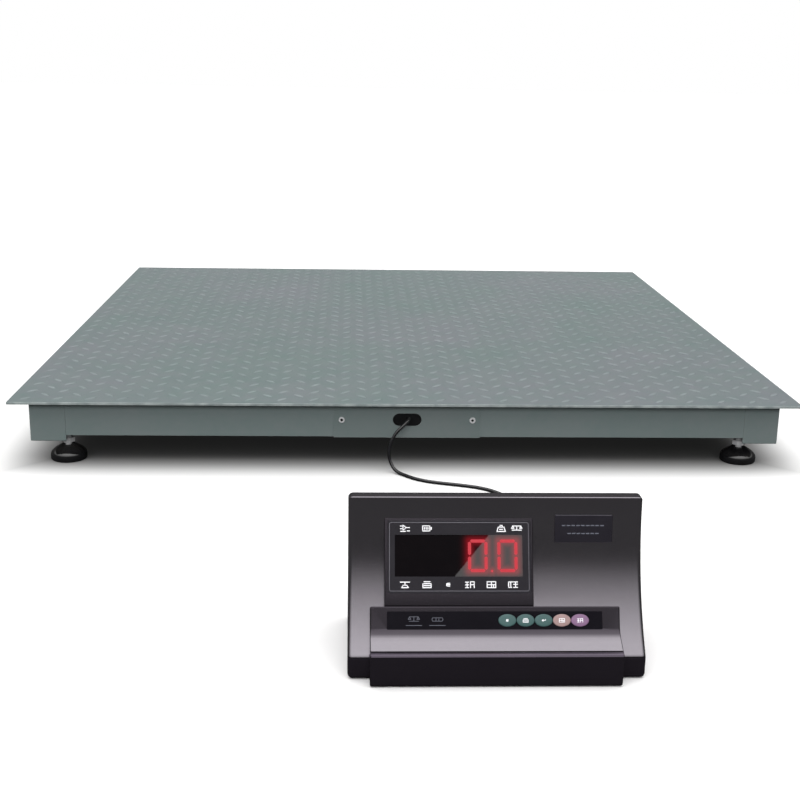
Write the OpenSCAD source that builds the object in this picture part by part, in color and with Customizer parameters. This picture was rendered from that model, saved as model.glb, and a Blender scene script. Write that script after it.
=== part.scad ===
// Low-profile pallet scale: a square weighing platform on four levelling feet, joined by a
// signal cable to a desk indicator with a lit display and five keys.
// Origin: centre of the footprint of platform and indicator, on the floor. +Y towards the rear.

/* [Deck] */
// Side of the square deck
deck_size = 1200; // [1150:10:1250]
// Thickness of the deck plate
deck_t = 4; // [3:0.5:6]
// Height of the deck's top above the floor
deck_top = 105; // [103:1:112]
// How far the deck stands out past the frame
overhang = 26; // [20:1:32]

/* [Frame] */
// Sheet thickness of the frame channels
sheet_t = 3; // [2.5:0.5:3]
// Width of each side channel
side_w = 54; // [52:1:58]
// Height of each side channel
side_h = 64.5; // [60:0.5:66]
// Depth of the front and rear beams
beam_d = 70; // [66:1:80]
// Height of the front and rear beams
beam_h = 55; // [52:1:56]
// Width of each rib under the deck
rib_w = 50; // [40:1:60]
// Height of each rib under the deck
rib_h = 40; // [36:1:46]

/* [Load cells] */
// Length of a load cell
cell_l = 130; // [126:1:136]
// Width and height of a load cell
cell_w = 32; // [30:1:34]
// Distance of a foot's centre from the frame's side
foot_in_x = 50; // [48:1:54]
// Distance of a foot's centre from the frame's front
foot_in_y = 30; // [28:1:34]

/* [Feet] */
// Radius of a foot pad
pad_r = 27.5; // [25:0.5:30]
// Height of a foot pad
pad_h = 24; // [23.5:0.5:25]
// Radius of the thread bores for the studs
stud_bore_r = 6; // [5.9:0.05:6.1]
// Radial clearance of a running fit
run_gap = 0.07; // [0.05:0.01:0.09]

/* [Indicator] */
// Sideways offset of the indicator's middle
ind_x = 63; // [40:1:80]
// Width of the indicator's shell
shell_w = 300; // [296:1:306]
// Wall thickness of the shell
shell_t = 2.6; // [2.4:0.1:2.8]
// Backward lean of the display and keypad faces
face_tilt = 24.5; // [24:0.5:25]
// Distance between neighbouring keys
key_pitch = 18.6; // [18.4:0.1:19]

/* [Cable] */
// Diameter of the signal cable
cable_d = 5; // [4.5:0.5:5.5]
// Radius of the coil at the middle of its turns
coil_r = 30; // [30:1:32]
// Number of turns side by side in the coil
coil_turns = 5; // [5:1:5]

/* [Hidden] */
$fn = 64;

// Lengthways places: the deck's rear edge and the indicator's console front are equally far from 0
deck_y = 337;
ind_y = -919;
over = 1; // how far a cutting solid runs past the face that it opens

half = deck_size / 2 - overhang; // the frame's outer side from the deck's centre
under = deck_top - deck_t; // underside of the deck
flange_z = under - sheet_t; // underside of every channel's top flange
side_z = under - side_h; // lowest edge of the side channels
beam_z = under - beam_h; // lowest edge of the front and rear beams
beam_x = half - side_w; // half length of the front and rear beams
beam_y = half - beam_d; // inner face of the front and rear beams
foot_x = half - foot_in_x;
foot_y = half - foot_in_y;
rib_x = [-330, -110, 110, 330];

cell_z = 58; // underside of the load cells
cell_tip = 22; // from the foot's centre to the cell's free end
cell_top = cell_z + cell_w;
bolt_from_tip = [84, 114];
bolt_r = 5.9;
nut_r = 10.9; // corner radius of an M12 nut

cover_x = -2;
cover_w = 224;
cover_t = 2;
cover_screw_x = 100;
slot_z = 73.5;
slot_w = 44;
slot_h = 20;
window_w = 176;
window_h = 34;

box_w = 120;
box_x = -2;
box_front = -549;
box_back = beam_y * -1 - sheet_t;
box_z = 60;
lead_r = 2.5;
lead_z = 74;
lead_run_x = 299; // where the rear leads run along the ribs
lead_front_y = 538;
lead_rear_y = 520;
gland_l = 12;

ball_r = 7;
ball_z = 17;
collar_z = 27;
collar_h = 7;
stud_top = 88;

// The indicator's outline, as [Y, Z] from the foot of its front wall
shell_z = 2;
top_z = 178;
face_r = 220; // the hollow sweep of the front face
face_y = 60 - face_r;
crown_y = 74;
back_y = 146;
back_z = 128;
front_turn_z = 27;
parting_z = 24;
apron_z = 38.5;
console_x = -2;
console_w = 254;
console_y = -18;
key_base = [10.5, 51.2];
display_base = [22, 72];
display_x = -39.5;
display_w = 153;
display_l = 88;

window_v = 49; // middle of the window up the display's slope
window_size = [148, 74.4];
led_v = 50;
led_size = [132, 43];
strip_x = -3.4;
strip_v = 8.2;
strip_size = [220, 18];
key_x = 9.3; // the first key's middle
key_size = [17.8, 12.2];
key_depth = 1;
label_x = 90.4;
label_angle = 9.5;
label_size = [60, 29];

rocker_x = -115;
rocker_z = 66;
rocker_r = 9;
rocker_w = 12.6;
rocker_rest = 11; // half of the rocker's throw
pivot_y = back_y - 3;
fuse_x = -84;
inlet_x = -42;
serial_x = 24;
socket_x = 60;
socket_z = 44;
port_z = 66;
foot_pos = [[-120, 18], [120, 18], [-120, 128], [120, 128]];
screw_pos = [[-139, 24], [139, 24], [-139, 132], [139, 132]];

// The cable's routes, by hand, in the part's own frame
cable_route = [
    [-2, -228, 74], [-1, -240, 76], [1, -250, 78], [-8, -258, 70], [-19, -262, 60], [-27, -265, 46],
    [-30, -267, 31], [-28, -270, 17], [-21, -277, 6], [-10, -288, 2.5], [5, -305, 2.5],
    [23, -318, 2.5], [45, -327, 2.5], [73, -336, 2.5], [98, -346, 2.5], [117, -360, 2.5],
    [132, -379, 2.5], [143, -402, 2.5], [150, -430, 2.5], [154, -465, 2.5], [157, -505, 2.5],
    [159, -550, 2.5], [160, -585, 2.5], [160, -612, 2.5]
];
tail_route = [
    [160, -634, 22], [160, -648, 20], [157, -661, 18], [150, -674, 18], [140, -687, 23],
    [130, -699, 33], [124.5, -708, 41], [123, -715, 44], [123, -719.4, 44]
];
coil_centre = [120, -623];
cable_side_count = 8;

module at_deck() translate([0, deck_y, 0]) children();
module at_indicator() translate([ind_x, ind_y, 0]) children();
module at_rear(x, z) at_indicator() translate([x, back_y, z]) rotate([-90, 0, 0]) children();
module on_slope(base) at_indicator() translate([0, base[0], base[1]]) rotate([-face_tilt, 0, 0]) children();
module four_corners() {
    for (sx = [-1, 1], sy = [-1, 1])
        scale([sx, sy, 1]) children();
}

// A block given by its lowest and highest corners
module block(low, high) translate(low) cube(high - low);

// A plate that stands on XZ, centred there, with its front at Y 0
module face_plate(size, depth) translate([-size[0] / 2, 0, -size[1] / 2]) cube([size[0], depth, size[1]]);

// A round bar between two points along one axis
module bar_x(x0, x1, r) translate([min(x0, x1), 0, 0]) rotate([0, 90, 0]) cylinder(r = r, h = abs(x1 - x0));
module bar_y(y0, y1, r) translate([0, max(y0, y1), 0]) rotate([90, 0, 0]) cylinder(r = r, h = abs(y1 - y0));

function ellipse(size, count = 36) =
    [for (i = [0:count - 1]) [size[0] / 2 * cos(360 * i / count), size[1] / 2 * sin(360 * i / count)]];

module oval(size, y0, y1) translate([0, y1, 0]) rotate([90, 0, 0]) linear_extrude(y1 - y0) polygon(ellipse(size));

// ---- Platform ----

module deck_plate() color([0.50, 0.54, 0.53])
    at_deck() block([-deck_size / 2, -deck_size / 2, under], [deck_size / 2, deck_size / 2, deck_top]);

// A channel along Y, open below, between two end caps
module side_channel(side) color([0.42, 0.46, 0.45]) at_deck() scale([side, 1, 1]) {
    notch = 74; // room at each end for a load cell
    difference() {
        block([beam_x, -half, side_z], [half, half, under]);
        block([beam_x + sheet_t, -half + sheet_t, side_z - over], [half - sheet_t, half - sheet_t, flange_z]);
        for (end = [-1, 1])
            scale([1, end, 1]) block(
                [beam_x - over, half - notch, side_z - over],
                [beam_x + sheet_t + over, half - sheet_t, flange_z]
            );
    }
}
module side_channel_left() side_channel(-1);
module side_channel_right() side_channel(1);

// A channel along X, open below, with its outer web at the front
module beam() difference() {
    block([-beam_x, -half, beam_z], [beam_x, -beam_y, under]);
    block([-beam_x - over, -half + sheet_t, beam_z - over], [beam_x + over, -beam_y - sheet_t, flange_z]);
    for (side = [-1, 1])
        translate([side * lead_run_x, 0, lead_z]) bar_y(-beam_y - sheet_t - over, -beam_y + over, lead_r + 2);
}

module front_beam() color([0.42, 0.46, 0.45]) at_deck() difference() {
    beam();
    translate([cover_x, -half - over, slot_z]) face_plate([window_w, window_h], sheet_t + 2 * over);
    for (side = [-1, 1])
        translate([cover_x + side * cover_screw_x, 0, slot_z]) bar_y(-half - over, -half + sheet_t + over, 2.6);
}

module rear_beam() color([0.42, 0.46, 0.45]) at_deck() scale([1, -1, 1]) beam();

// Four channels under the deck, each a separate solid
module deck_ribs() color([0.42, 0.46, 0.45]) at_deck()
    for (x = rib_x) translate([x, 0, 0]) difference() {
        block([-rib_w / 2, -beam_y, under - rib_h], [rib_w / 2, beam_y, under]);
        block(
            [-rib_w / 2 + sheet_t, -beam_y - over, under - rib_h - over],
            [rib_w / 2 - sheet_t, beam_y + over, flange_z]
        );
    }

module access_cover() color([0.40, 0.44, 0.43]) at_deck() translate([cover_x, -half, 0]) difference() {
    block([-cover_w / 2, -cover_t, beam_z - 1], [cover_w / 2, 0, under - 2]);
    translate([0, 0, slot_z]) {
        for (side = [-1, 1])
            translate([side * (slot_w - slot_h) / 2, 0, 0]) bar_y(-cover_t - over, over, slot_h / 2);
        translate([0, -cover_t - over, 0]) face_plate([slot_w - slot_h, slot_h], cover_t + 2 * over);
        for (side = [-1, 1])
            translate([side * cover_screw_x, 0, 0]) bar_y(-cover_t - over, over, 2.7);
    }
}

// Pan-head cross-recess screws that hold the access cover
module cover_screws() color([0.75, 0.75, 0.74]) at_deck()
    for (side = [-1, 1]) translate([cover_x + side * cover_screw_x, -half - cover_t, slot_z]) difference() {
        union() {
            bar_y(-2.6, 0, 4.6);
            bar_y(-0.5, 14, 2.5);
        }
        for (turn = [0, 90])
            rotate([0, turn, 0]) translate([0, -2.6 - over, 0]) face_plate([5, 1.1], 1.4 + over);
    }

// A shear-beam cell along X: its free end over the foot, its fixed end bolted up to the beam
module load_cell(sx, sy) color([0.72, 0.72, 0.70]) at_deck() scale([sx, sy, 1]) {
    tip = foot_x + cell_tip;
    difference() {
        block([tip - cell_l, foot_y - cell_w / 2, cell_z], [tip, foot_y + cell_w / 2, cell_top]);
        translate([foot_x, foot_y, cell_z - over]) cylinder(r = stud_bore_r, h = cell_w + 2 * over);
        for (d = bolt_from_tip)
            translate([tip - d, foot_y, cell_z - over]) cylinder(r = bolt_r + 0.3, h = cell_w + 2 * over);
        for (face = [-1, 1])
            translate([tip - 54, foot_y + face * (cell_w / 2 + over), (cell_z + cell_top) / 2])
                bar_y(-face * (8 + over), 0, 10);
    }
}
module load_cell_front_left() load_cell(-1, -1);
module load_cell_front_right() load_cell(1, -1);
module load_cell_rear_left() load_cell(-1, 1);
module load_cell_rear_right() load_cell(1, 1);

module cell_spacers() color([0.35, 0.36, 0.36]) at_deck() four_corners() {
    tip = foot_x + cell_tip;
    difference() {
        block([tip - cell_l, foot_y - cell_w / 2, cell_top], [tip - 68, foot_y + cell_w / 2, flange_z]);
        for (d = bolt_from_tip)
            translate([tip - d, foot_y, cell_top - over]) cylinder(r = bolt_r + 0.1, h = 20);
    }
}

module cell_bolts() color([0.68, 0.68, 0.66]) at_deck() four_corners()
    for (d = bolt_from_tip) translate([foot_x + cell_tip - d, foot_y, cell_z]) {
        translate([0, 0, -8]) cylinder(r = nut_r, h = 8, $fn = 6);
        translate([0, 0, -0.5]) cylinder(r = bolt_r, h = cell_w + 7.5);
    }

module lock_nuts() color([0.68, 0.68, 0.66]) at_deck() four_corners()
    translate([foot_x, foot_y, cell_z - 9]) difference() {
        cylinder(r = nut_r, h = 9, $fn = 6);
        translate([0, 0, -over]) cylinder(r = stud_bore_r, h = 9 + 2 * over);
    }

// ---- Junction box and leads ----

module junction_box() color([0.30, 0.32, 0.33]) at_deck() translate([box_x, 0, 0]) difference() {
    block([-box_w / 2, box_front, box_z], [box_w / 2, box_back, flange_z]);
    block([-box_w / 2 + 3, box_front + 3, box_z - over], [box_w / 2 - 3, box_back - 3, flange_z - 3]);
    translate([0, 0, lead_z]) bar_y(box_front - over, box_front + 3 + over, 6.1);
    for (y = [-lead_front_y, -lead_rear_y])
        translate([0, y, lead_z]) bar_x(-box_w / 2 - over, box_w / 2 + over, 4.1);
}

module junction_lid() color([0.26, 0.28, 0.29]) at_deck() translate([box_x, 0, 0]) {
    block([-box_w / 2, box_front, box_z - 3], [box_w / 2, box_back, box_z]);
    block([-box_w / 2 + 3.3, box_front + 3.3, box_z - 0.5], [-box_w / 2 + 5, box_back - 3.3, box_z + 3]);
}

// Board with three terminal blocks, hung from the box's roof on four posts
module summing_board() color([0.10, 0.35, 0.20]) at_deck() translate([box_x, (box_front + box_back) / 2, 0]) {
    block([-46, -14, 84], [46, 14, 85.6]);
    for (x = [-32, 0, 32]) block([x - 12, -6, 80], [x + 12, 6, 84.5]);
    for (x = [-42, 42], y = [-10, 10])
        translate([x, y, 85]) cylinder(r = 2.5, h = flange_z - 3 - 85);
}

// Four small glands where the cell leads enter the box's ends
module lead_glands() color([0.12, 0.12, 0.13]) at_deck() translate([box_x, 0, lead_z])
    for (side = [-1, 1], y = [-lead_front_y, -lead_rear_y])
        translate([0, y, 0]) scale([side, 1, 1]) difference() {
            union() {
                bar_x(box_w / 2 - 3, box_w / 2 + 1, 4);
                translate([box_w / 2, 0, 0]) rotate([0, 90, 0]) cylinder(r = 7, h = 5, $fn = 6);
                bar_x(box_w / 2 + 5, box_w / 2 + gland_l, 5.5);
            }
            bar_x(box_w / 2 - 4, box_w / 2 + gland_l + over, lead_r + 0.1);
        }

// Two straight leads from the front cells and two bent ones from the rear cells
module cell_leads() color([0.08, 0.08, 0.09]) at_deck() for (side = [-1, 1]) {
    cell_face = foot_x + cell_tip - cell_l;
    box_end = box_w / 2 - 6 + side * box_x;
    scale([side, 1, 1]) translate([0, 0, lead_z]) {
        translate([0, -lead_front_y, 0]) bar_x(box_end, cell_face, lead_r);
        translate([0, -lead_rear_y, 0]) bar_x(box_end, lead_run_x, lead_r);
        translate([0, lead_rear_y + 18, 0]) bar_x(lead_run_x, cell_face, lead_r);
        translate([lead_run_x, 0, 0]) bar_y(-lead_rear_y, lead_rear_y + 18, lead_r);
        for (y = [-lead_rear_y, lead_rear_y + 18])
            translate([lead_run_x, y, 0]) sphere(r = lead_r);
    }
}

// Saddles on the outer ribs that hold the rear leads
module lead_clips() color([0.85, 0.85, 0.82]) at_deck() for (side = [-1, 1], y = [-360, 0, 360])
    scale([side, 1, 1]) translate([0, y, lead_z]) difference() {
        block([lead_run_x - 5, -6, -5], [rib_x[3] - rib_w / 2, 6, 5]);
        translate([lead_run_x, 0, 0]) bar_y(-6 - over, 6 + over, lead_r + 0.1);
    }

// Gland where the signal cable leaves the box, in line with the cover's slot
module cable_gland() color([0.10, 0.10, 0.11]) at_deck() translate([box_x, 0, lead_z]) difference() {
    union() {
        bar_y(box_front - 1, box_front + 5, 6);
        translate([0, box_front, 0]) rotate([90, 0, 0]) cylinder(r = 10, h = 6, $fn = 6);
        bar_y(box_front - 16, box_front - 6, 8.5);
    }
    bar_y(box_front - 16 - over, box_front + 5 + over, cable_d / 2 + 0.1);
}

// ---- Levelling feet ----

// Domed pad with a ball seat, turned about its own axis
module foot_pad(sx, sy) color([0.05, 0.05, 0.05]) at_deck() translate([sx * foot_x, sy * foot_y, 0]) {
    dome = [for (i = [0:8]) [11 + (pad_r - 12.5) * cos(10 * i), 8 + (pad_h - 8) * sin(10 * i)]];
    difference() {
        rotate_extrude() polygon(concat(
            [[0, 0], [pad_r - 1, 0], [pad_r, 1], [pad_r, 7], [pad_r - 1, 8]], dome, [[0, pad_h]]
        ));
        translate([0, 0, ball_z]) sphere(r = ball_r + run_gap);
        translate([0, 0, ball_z]) cylinder(r = 5.6, h = pad_h);
    }
}
module foot_pad_front_left() foot_pad(-1, -1);
module foot_pad_front_right() foot_pad(1, -1);
module foot_pad_rear_left() foot_pad(-1, 1);
module foot_pad_rear_right() foot_pad(1, 1);

// Ball, neck, hex collar and thread in one piece
module foot_stud(sx, sy) color([0.72, 0.72, 0.70]) at_deck() translate([sx * foot_x, sy * foot_y, 0]) {
    translate([0, 0, ball_z]) sphere(r = ball_r);
    translate([0, 0, ball_z]) cylinder(r = 5, h = collar_z - ball_z + 1);
    translate([0, 0, collar_z]) cylinder(r = 10.4, h = collar_h, $fn = 6);
    translate([0, 0, collar_z]) cylinder(r = stud_bore_r - run_gap, h = stud_top - collar_z);
}
module foot_stud_front_left() foot_stud(-1, -1);
module foot_stud_front_right() foot_stud(1, -1);
module foot_stud_rear_left() foot_stud(-1, 1);
module foot_stud_rear_right() foot_stud(1, 1);

// ---- Signal cable ----

// Catmull-Rom point between p[1] and p[2] at t
function between(p, t) = 0.5 * (
    2 * p[1] + (p[2] - p[0]) * t
    + (2 * p[0] - 5 * p[1] + 4 * p[2] - p[3]) * t * t
    + (3 * p[1] - p[0] - 3 * p[2] + p[3]) * t * t * t
);
function clamped(route, i) = route[max(0, min(len(route) - 1, i))];
function on_floor(p) = [p[0], p[1], max(p[2], cable_d / 2)];
function smooth(route, steps) = concat(
    [for (i = [0:len(route) - 2], s = [0:steps - 1])
        on_floor(between([for (k = [-1:2]) clamped(route, i + k)], s / steps))],
    [route[len(route) - 1]]
);
function unit(v) = v / norm(v);
tube_ref = [0.5, 0.3, -0.8]; // never in line with either route
function ring(centre, tangent, r) =
    let (u = unit(cross(tangent, tube_ref)), v = cross(u, tangent))
    [for (k = [0:cable_side_count - 1])
        centre + r * (cos(360 * k / cable_side_count) * u + sin(360 * k / cable_side_count) * v)];
function ring_faces(i) = [for (k = [0:cable_side_count - 1])
    let (a = i * cable_side_count, b = a + cable_side_count, n = (k + 1) % cable_side_count)
    [a + k, a + n, b + n, b + k]];

module tube(path, r) {
    last = len(path) - 1;
    rings = [for (i = [0:last]) ring(path[i], unit(clamped(path, i + 1) - clamped(path, i - 1)), r)];
    points = [for (one = rings, p = one) p];
    sides = [for (i = [0:last - 1], f = ring_faces(i)) f];
    start_cap = [[for (k = [0:cable_side_count - 1]) cable_side_count - 1 - k]];
    end_cap = [[for (k = [0:cable_side_count - 1]) last * cable_side_count + k]];
    polyhedron(points, concat(sides, start_cap, end_cap), convexity = 10);
}

module signal_cable() color([0.10, 0.10, 0.11]) tube(smooth(cable_route, 2), cable_d / 2);
module cable_tail() color([0.10, 0.10, 0.11]) tube(smooth(tail_route, 2), cable_d / 2);

// The outer shape of the tied coil
module cable_coil() color([0.10, 0.10, 0.11]) translate([coil_centre[0], coil_centre[1], 0])
    rotate_extrude() translate([coil_r - coil_turns * cable_d / 2, 0])
        square([coil_turns * cable_d, coil_turns * cable_d]);

module signal_plug() color([0.60, 0.60, 0.60]) at_rear(socket_x, socket_z) difference() {
    union() {
        translate([0, 0, 7]) cylinder(r = 10, h = 14);
        translate([0, 0, 21]) cylinder(r = 8.5, h = 10);
    }
    translate([0, 0, 7 - over]) cylinder(r = 8.1, h = 8 + over);
}

// Tapered strain relief behind the plug
module plug_boot() color([0.08, 0.08, 0.09]) at_rear(socket_x, socket_z)
    translate([0, 0, 31]) cylinder(r1 = 7, r2 = 3.6, h = 22);

// ---- Indicator shell ----

function face_arc(inset) =
    let (r = face_r + inset, low = acos((inset - face_y) / r), high = asin(inset / r), count = 20)
    [for (i = [0:count]) let (a = low + (high - low) * i / count) [face_y + r * cos(a), top_z - r * sin(a)]];
function body_outline(inset, foot) = concat(
    [[inset, foot]], face_arc(inset),
    [[crown_y, top_z - inset], [back_y - inset, back_z - inset / 2], [back_y - inset, foot]]
);
function console_outline(inset, foot) = [
    [console_y + inset, foot], [console_y + inset, 36.3 - inset], [-17 + inset, 38 - inset],
    [-14 + inset, 39.2 - inset], [-8 + inset, 40.2 - inset], [-2 + inset, 41.8 - inset],
    [3.5 + inset, 44.2 - inset], [7.5 + inset, 47 - inset], [key_base[0] + inset, key_base[1] - inset],
    [19.8 + inset, 71.6 - inset], [40, 71.6 - inset], [60, 71.6 - inset], [60, foot]
];
function display_outline(inset) =
    let (rise = display_l * cos(face_tilt), run = display_l * sin(face_tilt))
    [
        [display_base[0] + inset, display_base[1] - 8], [display_base[0] + inset, display_base[1]],
        [display_base[0] + run + inset, display_base[1] + rise - inset],
        [display_base[0] + run + 8, display_base[1] + rise - inset],
        [display_base[0] + run + 8, display_base[1] - 8]
    ];

// An outline in YZ, drawn out along X about a middle
module across(outline, width, middle) translate([middle - width / 2, 0, 0])
    rotate([90, 0, 90]) linear_extrude(width) polygon(outline);

module shell_outside() {
    across(body_outline(0, shell_z), shell_w, 0);
    across(console_outline(0, shell_z), console_w, console_x);
    across(display_outline(0), display_w, display_x);
}
module shell_inside() {
    across(body_outline(shell_t, shell_z + 3), shell_w - 2 * shell_t, 0);
    across(console_outline(shell_t, shell_z + 3), console_w - 2 * shell_t, console_x);
    across(display_outline(shell_t), display_w - 2 * shell_t, display_x);
}

// What belongs to the base: everything below the parting line, and the console's front apron
module base_zone() {
    block([-shell_w, console_y - over, -over], [shell_w, back_y + over, parting_z]);
    block([console_x - console_w / 2 - over, console_y - over, 0], [console_x + console_w / 2 + over, 2.5, apron_z]);
}

// Holes in the rear wall for what is mounted there
module rear_holes() {
    translate([rocker_x, 0, rocker_z]) face_plate([16, 24], 20);
    translate([fuse_x, 20, port_z]) bar_y(-20, 0, 6.2);
    translate([inlet_x, 0, port_z]) face_plate([30, 22], 20);
    translate([serial_x, 0, port_z]) face_plate([20, 10], 20);
    translate([socket_x, 20, socket_z]) bar_y(-20, 0, 7.1);
}

module top_shell() color([0.13, 0.13, 0.14]) difference() {
    union() {
        at_indicator() difference() {
            shell_outside();
            shell_inside();
            base_zone();
        }
        at_indicator() intersection() {
            across(body_outline(0.5, shell_z), shell_w - 1, 0);
            for (p = screw_pos) translate([p[0], p[1], parting_z]) cylinder(r = 4.5, h = top_z);
        }
    }
    at_indicator() {
        for (p = screw_pos) translate([p[0], p[1], parting_z - over]) cylinder(r = 1.6, h = 14);
        translate([0, back_y - 10, 0]) rear_holes();
        translate([label_x, face_y + face_r * cos(label_angle) - 0.6, top_z - face_r * sin(label_angle)])
            rotate([-label_angle, 0, 0]) translate([0, -5, 0]) face_plate(label_size + [0.4, 0.4], 6.2);
    }
    on_slope(display_base) {
        translate([display_x + 0.4, -5, window_v]) face_plate(window_size + [0.6, 0.6], 6.6);
        translate([display_x, -5, led_v]) face_plate(led_size + [0.4, 0.4], 20);
    }
    on_slope(key_base) {
        translate([strip_x, -5, strip_v]) face_plate(strip_size + [0.4, 0.4], 6.2);
        translate([key_x + 2 * key_pitch, -5, strip_v]) face_plate([5 * key_pitch + 4, 14.8], 12);
    }
}

module base_shell() color([0.11, 0.11, 0.12]) at_indicator() difference() {
    union() {
        intersection() {
            difference() {
                shell_outside();
                shell_inside();
            }
            base_zone();
        }
        for (p = screw_pos) translate([p[0], p[1], shell_z + 1]) cylinder(r = 4.5, h = parting_z - shell_z - 1);
    }
    for (p = screw_pos) translate([p[0], p[1], 0]) {
        cylinder(r = 1.8, h = parting_z + over);
        cylinder(r = 3.4, h = 12);
    }
    block([-118, 40, 0], [-22, 98, 20]);
}

module battery_cover() color([0.11, 0.11, 0.12]) at_indicator()
    block([-117.7, 40.3, shell_z], [-22.3, 97.7, shell_z + 2.5]);

module display_window() color([0.06, 0.06, 0.07]) on_slope(display_base)
    translate([display_x + 0.4, 0.1, window_v]) face_plate(window_size, 1.5);

module display_module() color([0.03, 0.03, 0.03]) on_slope(display_base)
    translate([display_x, 1.6, led_v]) face_plate(led_size, 14);

module label_plate() color([0.08, 0.08, 0.10]) at_indicator()
    translate([label_x, face_y + face_r * cos(label_angle) - 0.4, top_z - face_r * sin(label_angle)])
        rotate([-label_angle, 0, 0]) face_plate(label_size, 1);

// Strip over the keypad, with one run of joined ovals for the keys
module keypad_bezel() color([0.07, 0.07, 0.08]) on_slope(key_base) difference() {
    translate([strip_x, 0, strip_v]) face_plate(strip_size, 1.2);
    for (i = [0:4])
        translate([key_x + i * key_pitch, 0, strip_v]) oval([key_pitch + 0.4, 12.8], -over, 1.2 + over);
}

key_colours = [[0.20, 0.40, 0.37], [0.20, 0.40, 0.37], [0.20, 0.40, 0.37], [0.66, 0.52, 0.45], [0.50, 0.35, 0.52]];
// Cap, retaining flange and stem of one key; i counts from the left
module key(i) color(key_colours[i]) on_slope(key_base) translate([key_x + i * key_pitch, 0, strip_v]) {
    oval(key_size, -key_depth, 1.5);
    oval([18, 14], 1.3, 2.3);
    bar_y(2, 5.2, 2);
}
module key_1() key(0);
module key_2() key(1);
module key_3() key(2);
module key_4() key(3);
module key_5() key(4);

module keypad_board() color([0.10, 0.35, 0.20]) on_slope(key_base) {
    translate([strip_x, 9, strip_v - 1]) face_plate([200, 16], 1.6);
    for (i = [0:4])
        translate([key_x + i * key_pitch, 6.2, strip_v]) face_plate([6, 6], 3);
}

// ---- Inside and behind the indicator ----

module main_board() color([0.10, 0.35, 0.20]) at_indicator() {
    block([-8, 30, 12], [130, 124, 13.6]);
    for (x = [0, 122], y = [36, 118]) translate([x, y, shell_z + 3]) cylinder(r = 3, h = 8);
    block([40, 60, 13], [62, 82, 16]);
    block([82, 50, 13], [96, 88, 17]);
    for (x = [10, 24]) translate([x, 100, 13]) cylinder(r = 5, h = 14);
}

module transformer() color([0.45, 0.38, 0.25]) at_indicator() {
    block([-122, 102, shell_z + 3], [-72, 138, 40]);
    block([-112, 98, 12], [-82, 142, 34]);
}

module battery() color([0.20, 0.22, 0.24]) at_indicator() {
    block([-120, 45, shell_z + 3], [-20, 92, 62]);
    for (x = [-104, -36]) block([x - 3, 66, 61], [x + 3, 68, 68]);
}

module signal_socket() color([0.65, 0.65, 0.63]) at_rear(socket_x, socket_z) {
    translate([0, 0, -14]) cylinder(r = 7, h = 28);
    cylinder(r = 11, h = 2);
}

module serial_port() color([0.55, 0.56, 0.58]) at_rear(serial_x, port_z) {
    translate([-15.5, -6.5, 0]) cube([31, 13, 1.5]);
    translate([-9.5, -4.5, -10]) cube([19, 9, 15]);
    for (side = [-1, 1]) translate([side * 12.5, 0, 0]) cylinder(r = 2.6, h = 6, $fn = 6);
}

// Mains inlet with three blades in a recess
module power_inlet() color([0.06, 0.06, 0.06]) at_rear(inlet_x, port_z) {
    difference() {
        union() {
            translate([-14.5, -10.5, -20]) cube([29, 21, 21]);
            translate([-20, -13, 0]) cube([40, 26, 2]);
        }
        translate([-12.5, -8.5, -17]) cube([25, 17, 30]);
    }
    for (x = [-7, 0, 7]) translate([x - 1, x == 0 ? 1 : -3, -18]) cube([2, 4, 14]);
}

module fuse_holder() color([0.06, 0.06, 0.06]) at_rear(fuse_x, port_z) difference() {
    union() {
        translate([0, 0, -26]) cylinder(r = 6, h = 28);
        cylinder(r = 8, h = 4);
    }
    translate([-5, -0.8, 3]) cube([10, 1.6, 3]);
}

module at_rocker() at_indicator() translate([rocker_x, pivot_y, rocker_z]) children();

module rocker_housing() color([0.06, 0.06, 0.06]) at_rocker() difference() {
    union() {
        translate([0, -12, 0]) face_plate([15.6, 23.6], 15.5);
        translate([0, 3, 0]) face_plate([19, 27], 1.6);
    }
    bar_x(-6.6, 6.6, rocker_r + 0.3);
    bar_x(-7.9, 7.9, 1.2 + run_gap);
}

// The rocker rests at its on side; half of its throw is the tilt at rest
module power_rocker() color([0.10, 0.10, 0.10]) at_rocker() rotate([rocker_rest, 0, 0]) {
    difference() {
        bar_x(-rocker_w / 2, rocker_w / 2, rocker_r);
        for (side = [-1, 1])
            rotate([side * rocker_rest, 0, 0]) translate([0, 6, side * 10]) face_plate([20, 20], 20);
    }
    bar_x(-7.6, 7.6, 1.2);
}

module rubber_feet() color([0.05, 0.05, 0.05]) at_indicator()
    for (p = foot_pos) translate([p[0], p[1], 0]) cylinder(r = 8, h = shell_z);

module shell_screws() color([0.70, 0.70, 0.68]) at_indicator()
    for (p = screw_pos) translate([p[0], p[1], 9.5]) {
        cylinder(r = 3, h = 2.5);
        translate([0, 0, 2]) cylinder(r = 1.5, h = 22);
    }

deck_plate();
side_channel_left();
side_channel_right();
front_beam();
rear_beam();
deck_ribs();
access_cover();
cover_screws();
load_cell_front_left();
load_cell_front_right();
load_cell_rear_left();
load_cell_rear_right();
cell_spacers();
cell_bolts();
lock_nuts();
junction_box();
junction_lid();
summing_board();
lead_glands();
cell_leads();
lead_clips();
cable_gland();
foot_pad_front_left();
foot_pad_front_right();
foot_pad_rear_left();
foot_pad_rear_right();
foot_stud_front_left();
foot_stud_front_right();
foot_stud_rear_left();
foot_stud_rear_right();
signal_cable();
cable_coil();
cable_tail();
signal_plug();
plug_boot();
top_shell();
base_shell();
display_window();
display_module();
label_plate();
keypad_bezel();
key_1();
key_2();
key_3();
key_4();
key_5();
keypad_board();
main_board();
transformer();
battery();
battery_cover();
signal_socket();
serial_port();
power_inlet();
fuse_holder();
rocker_housing();
power_rocker();
rubber_feet();
shell_screws();
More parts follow.
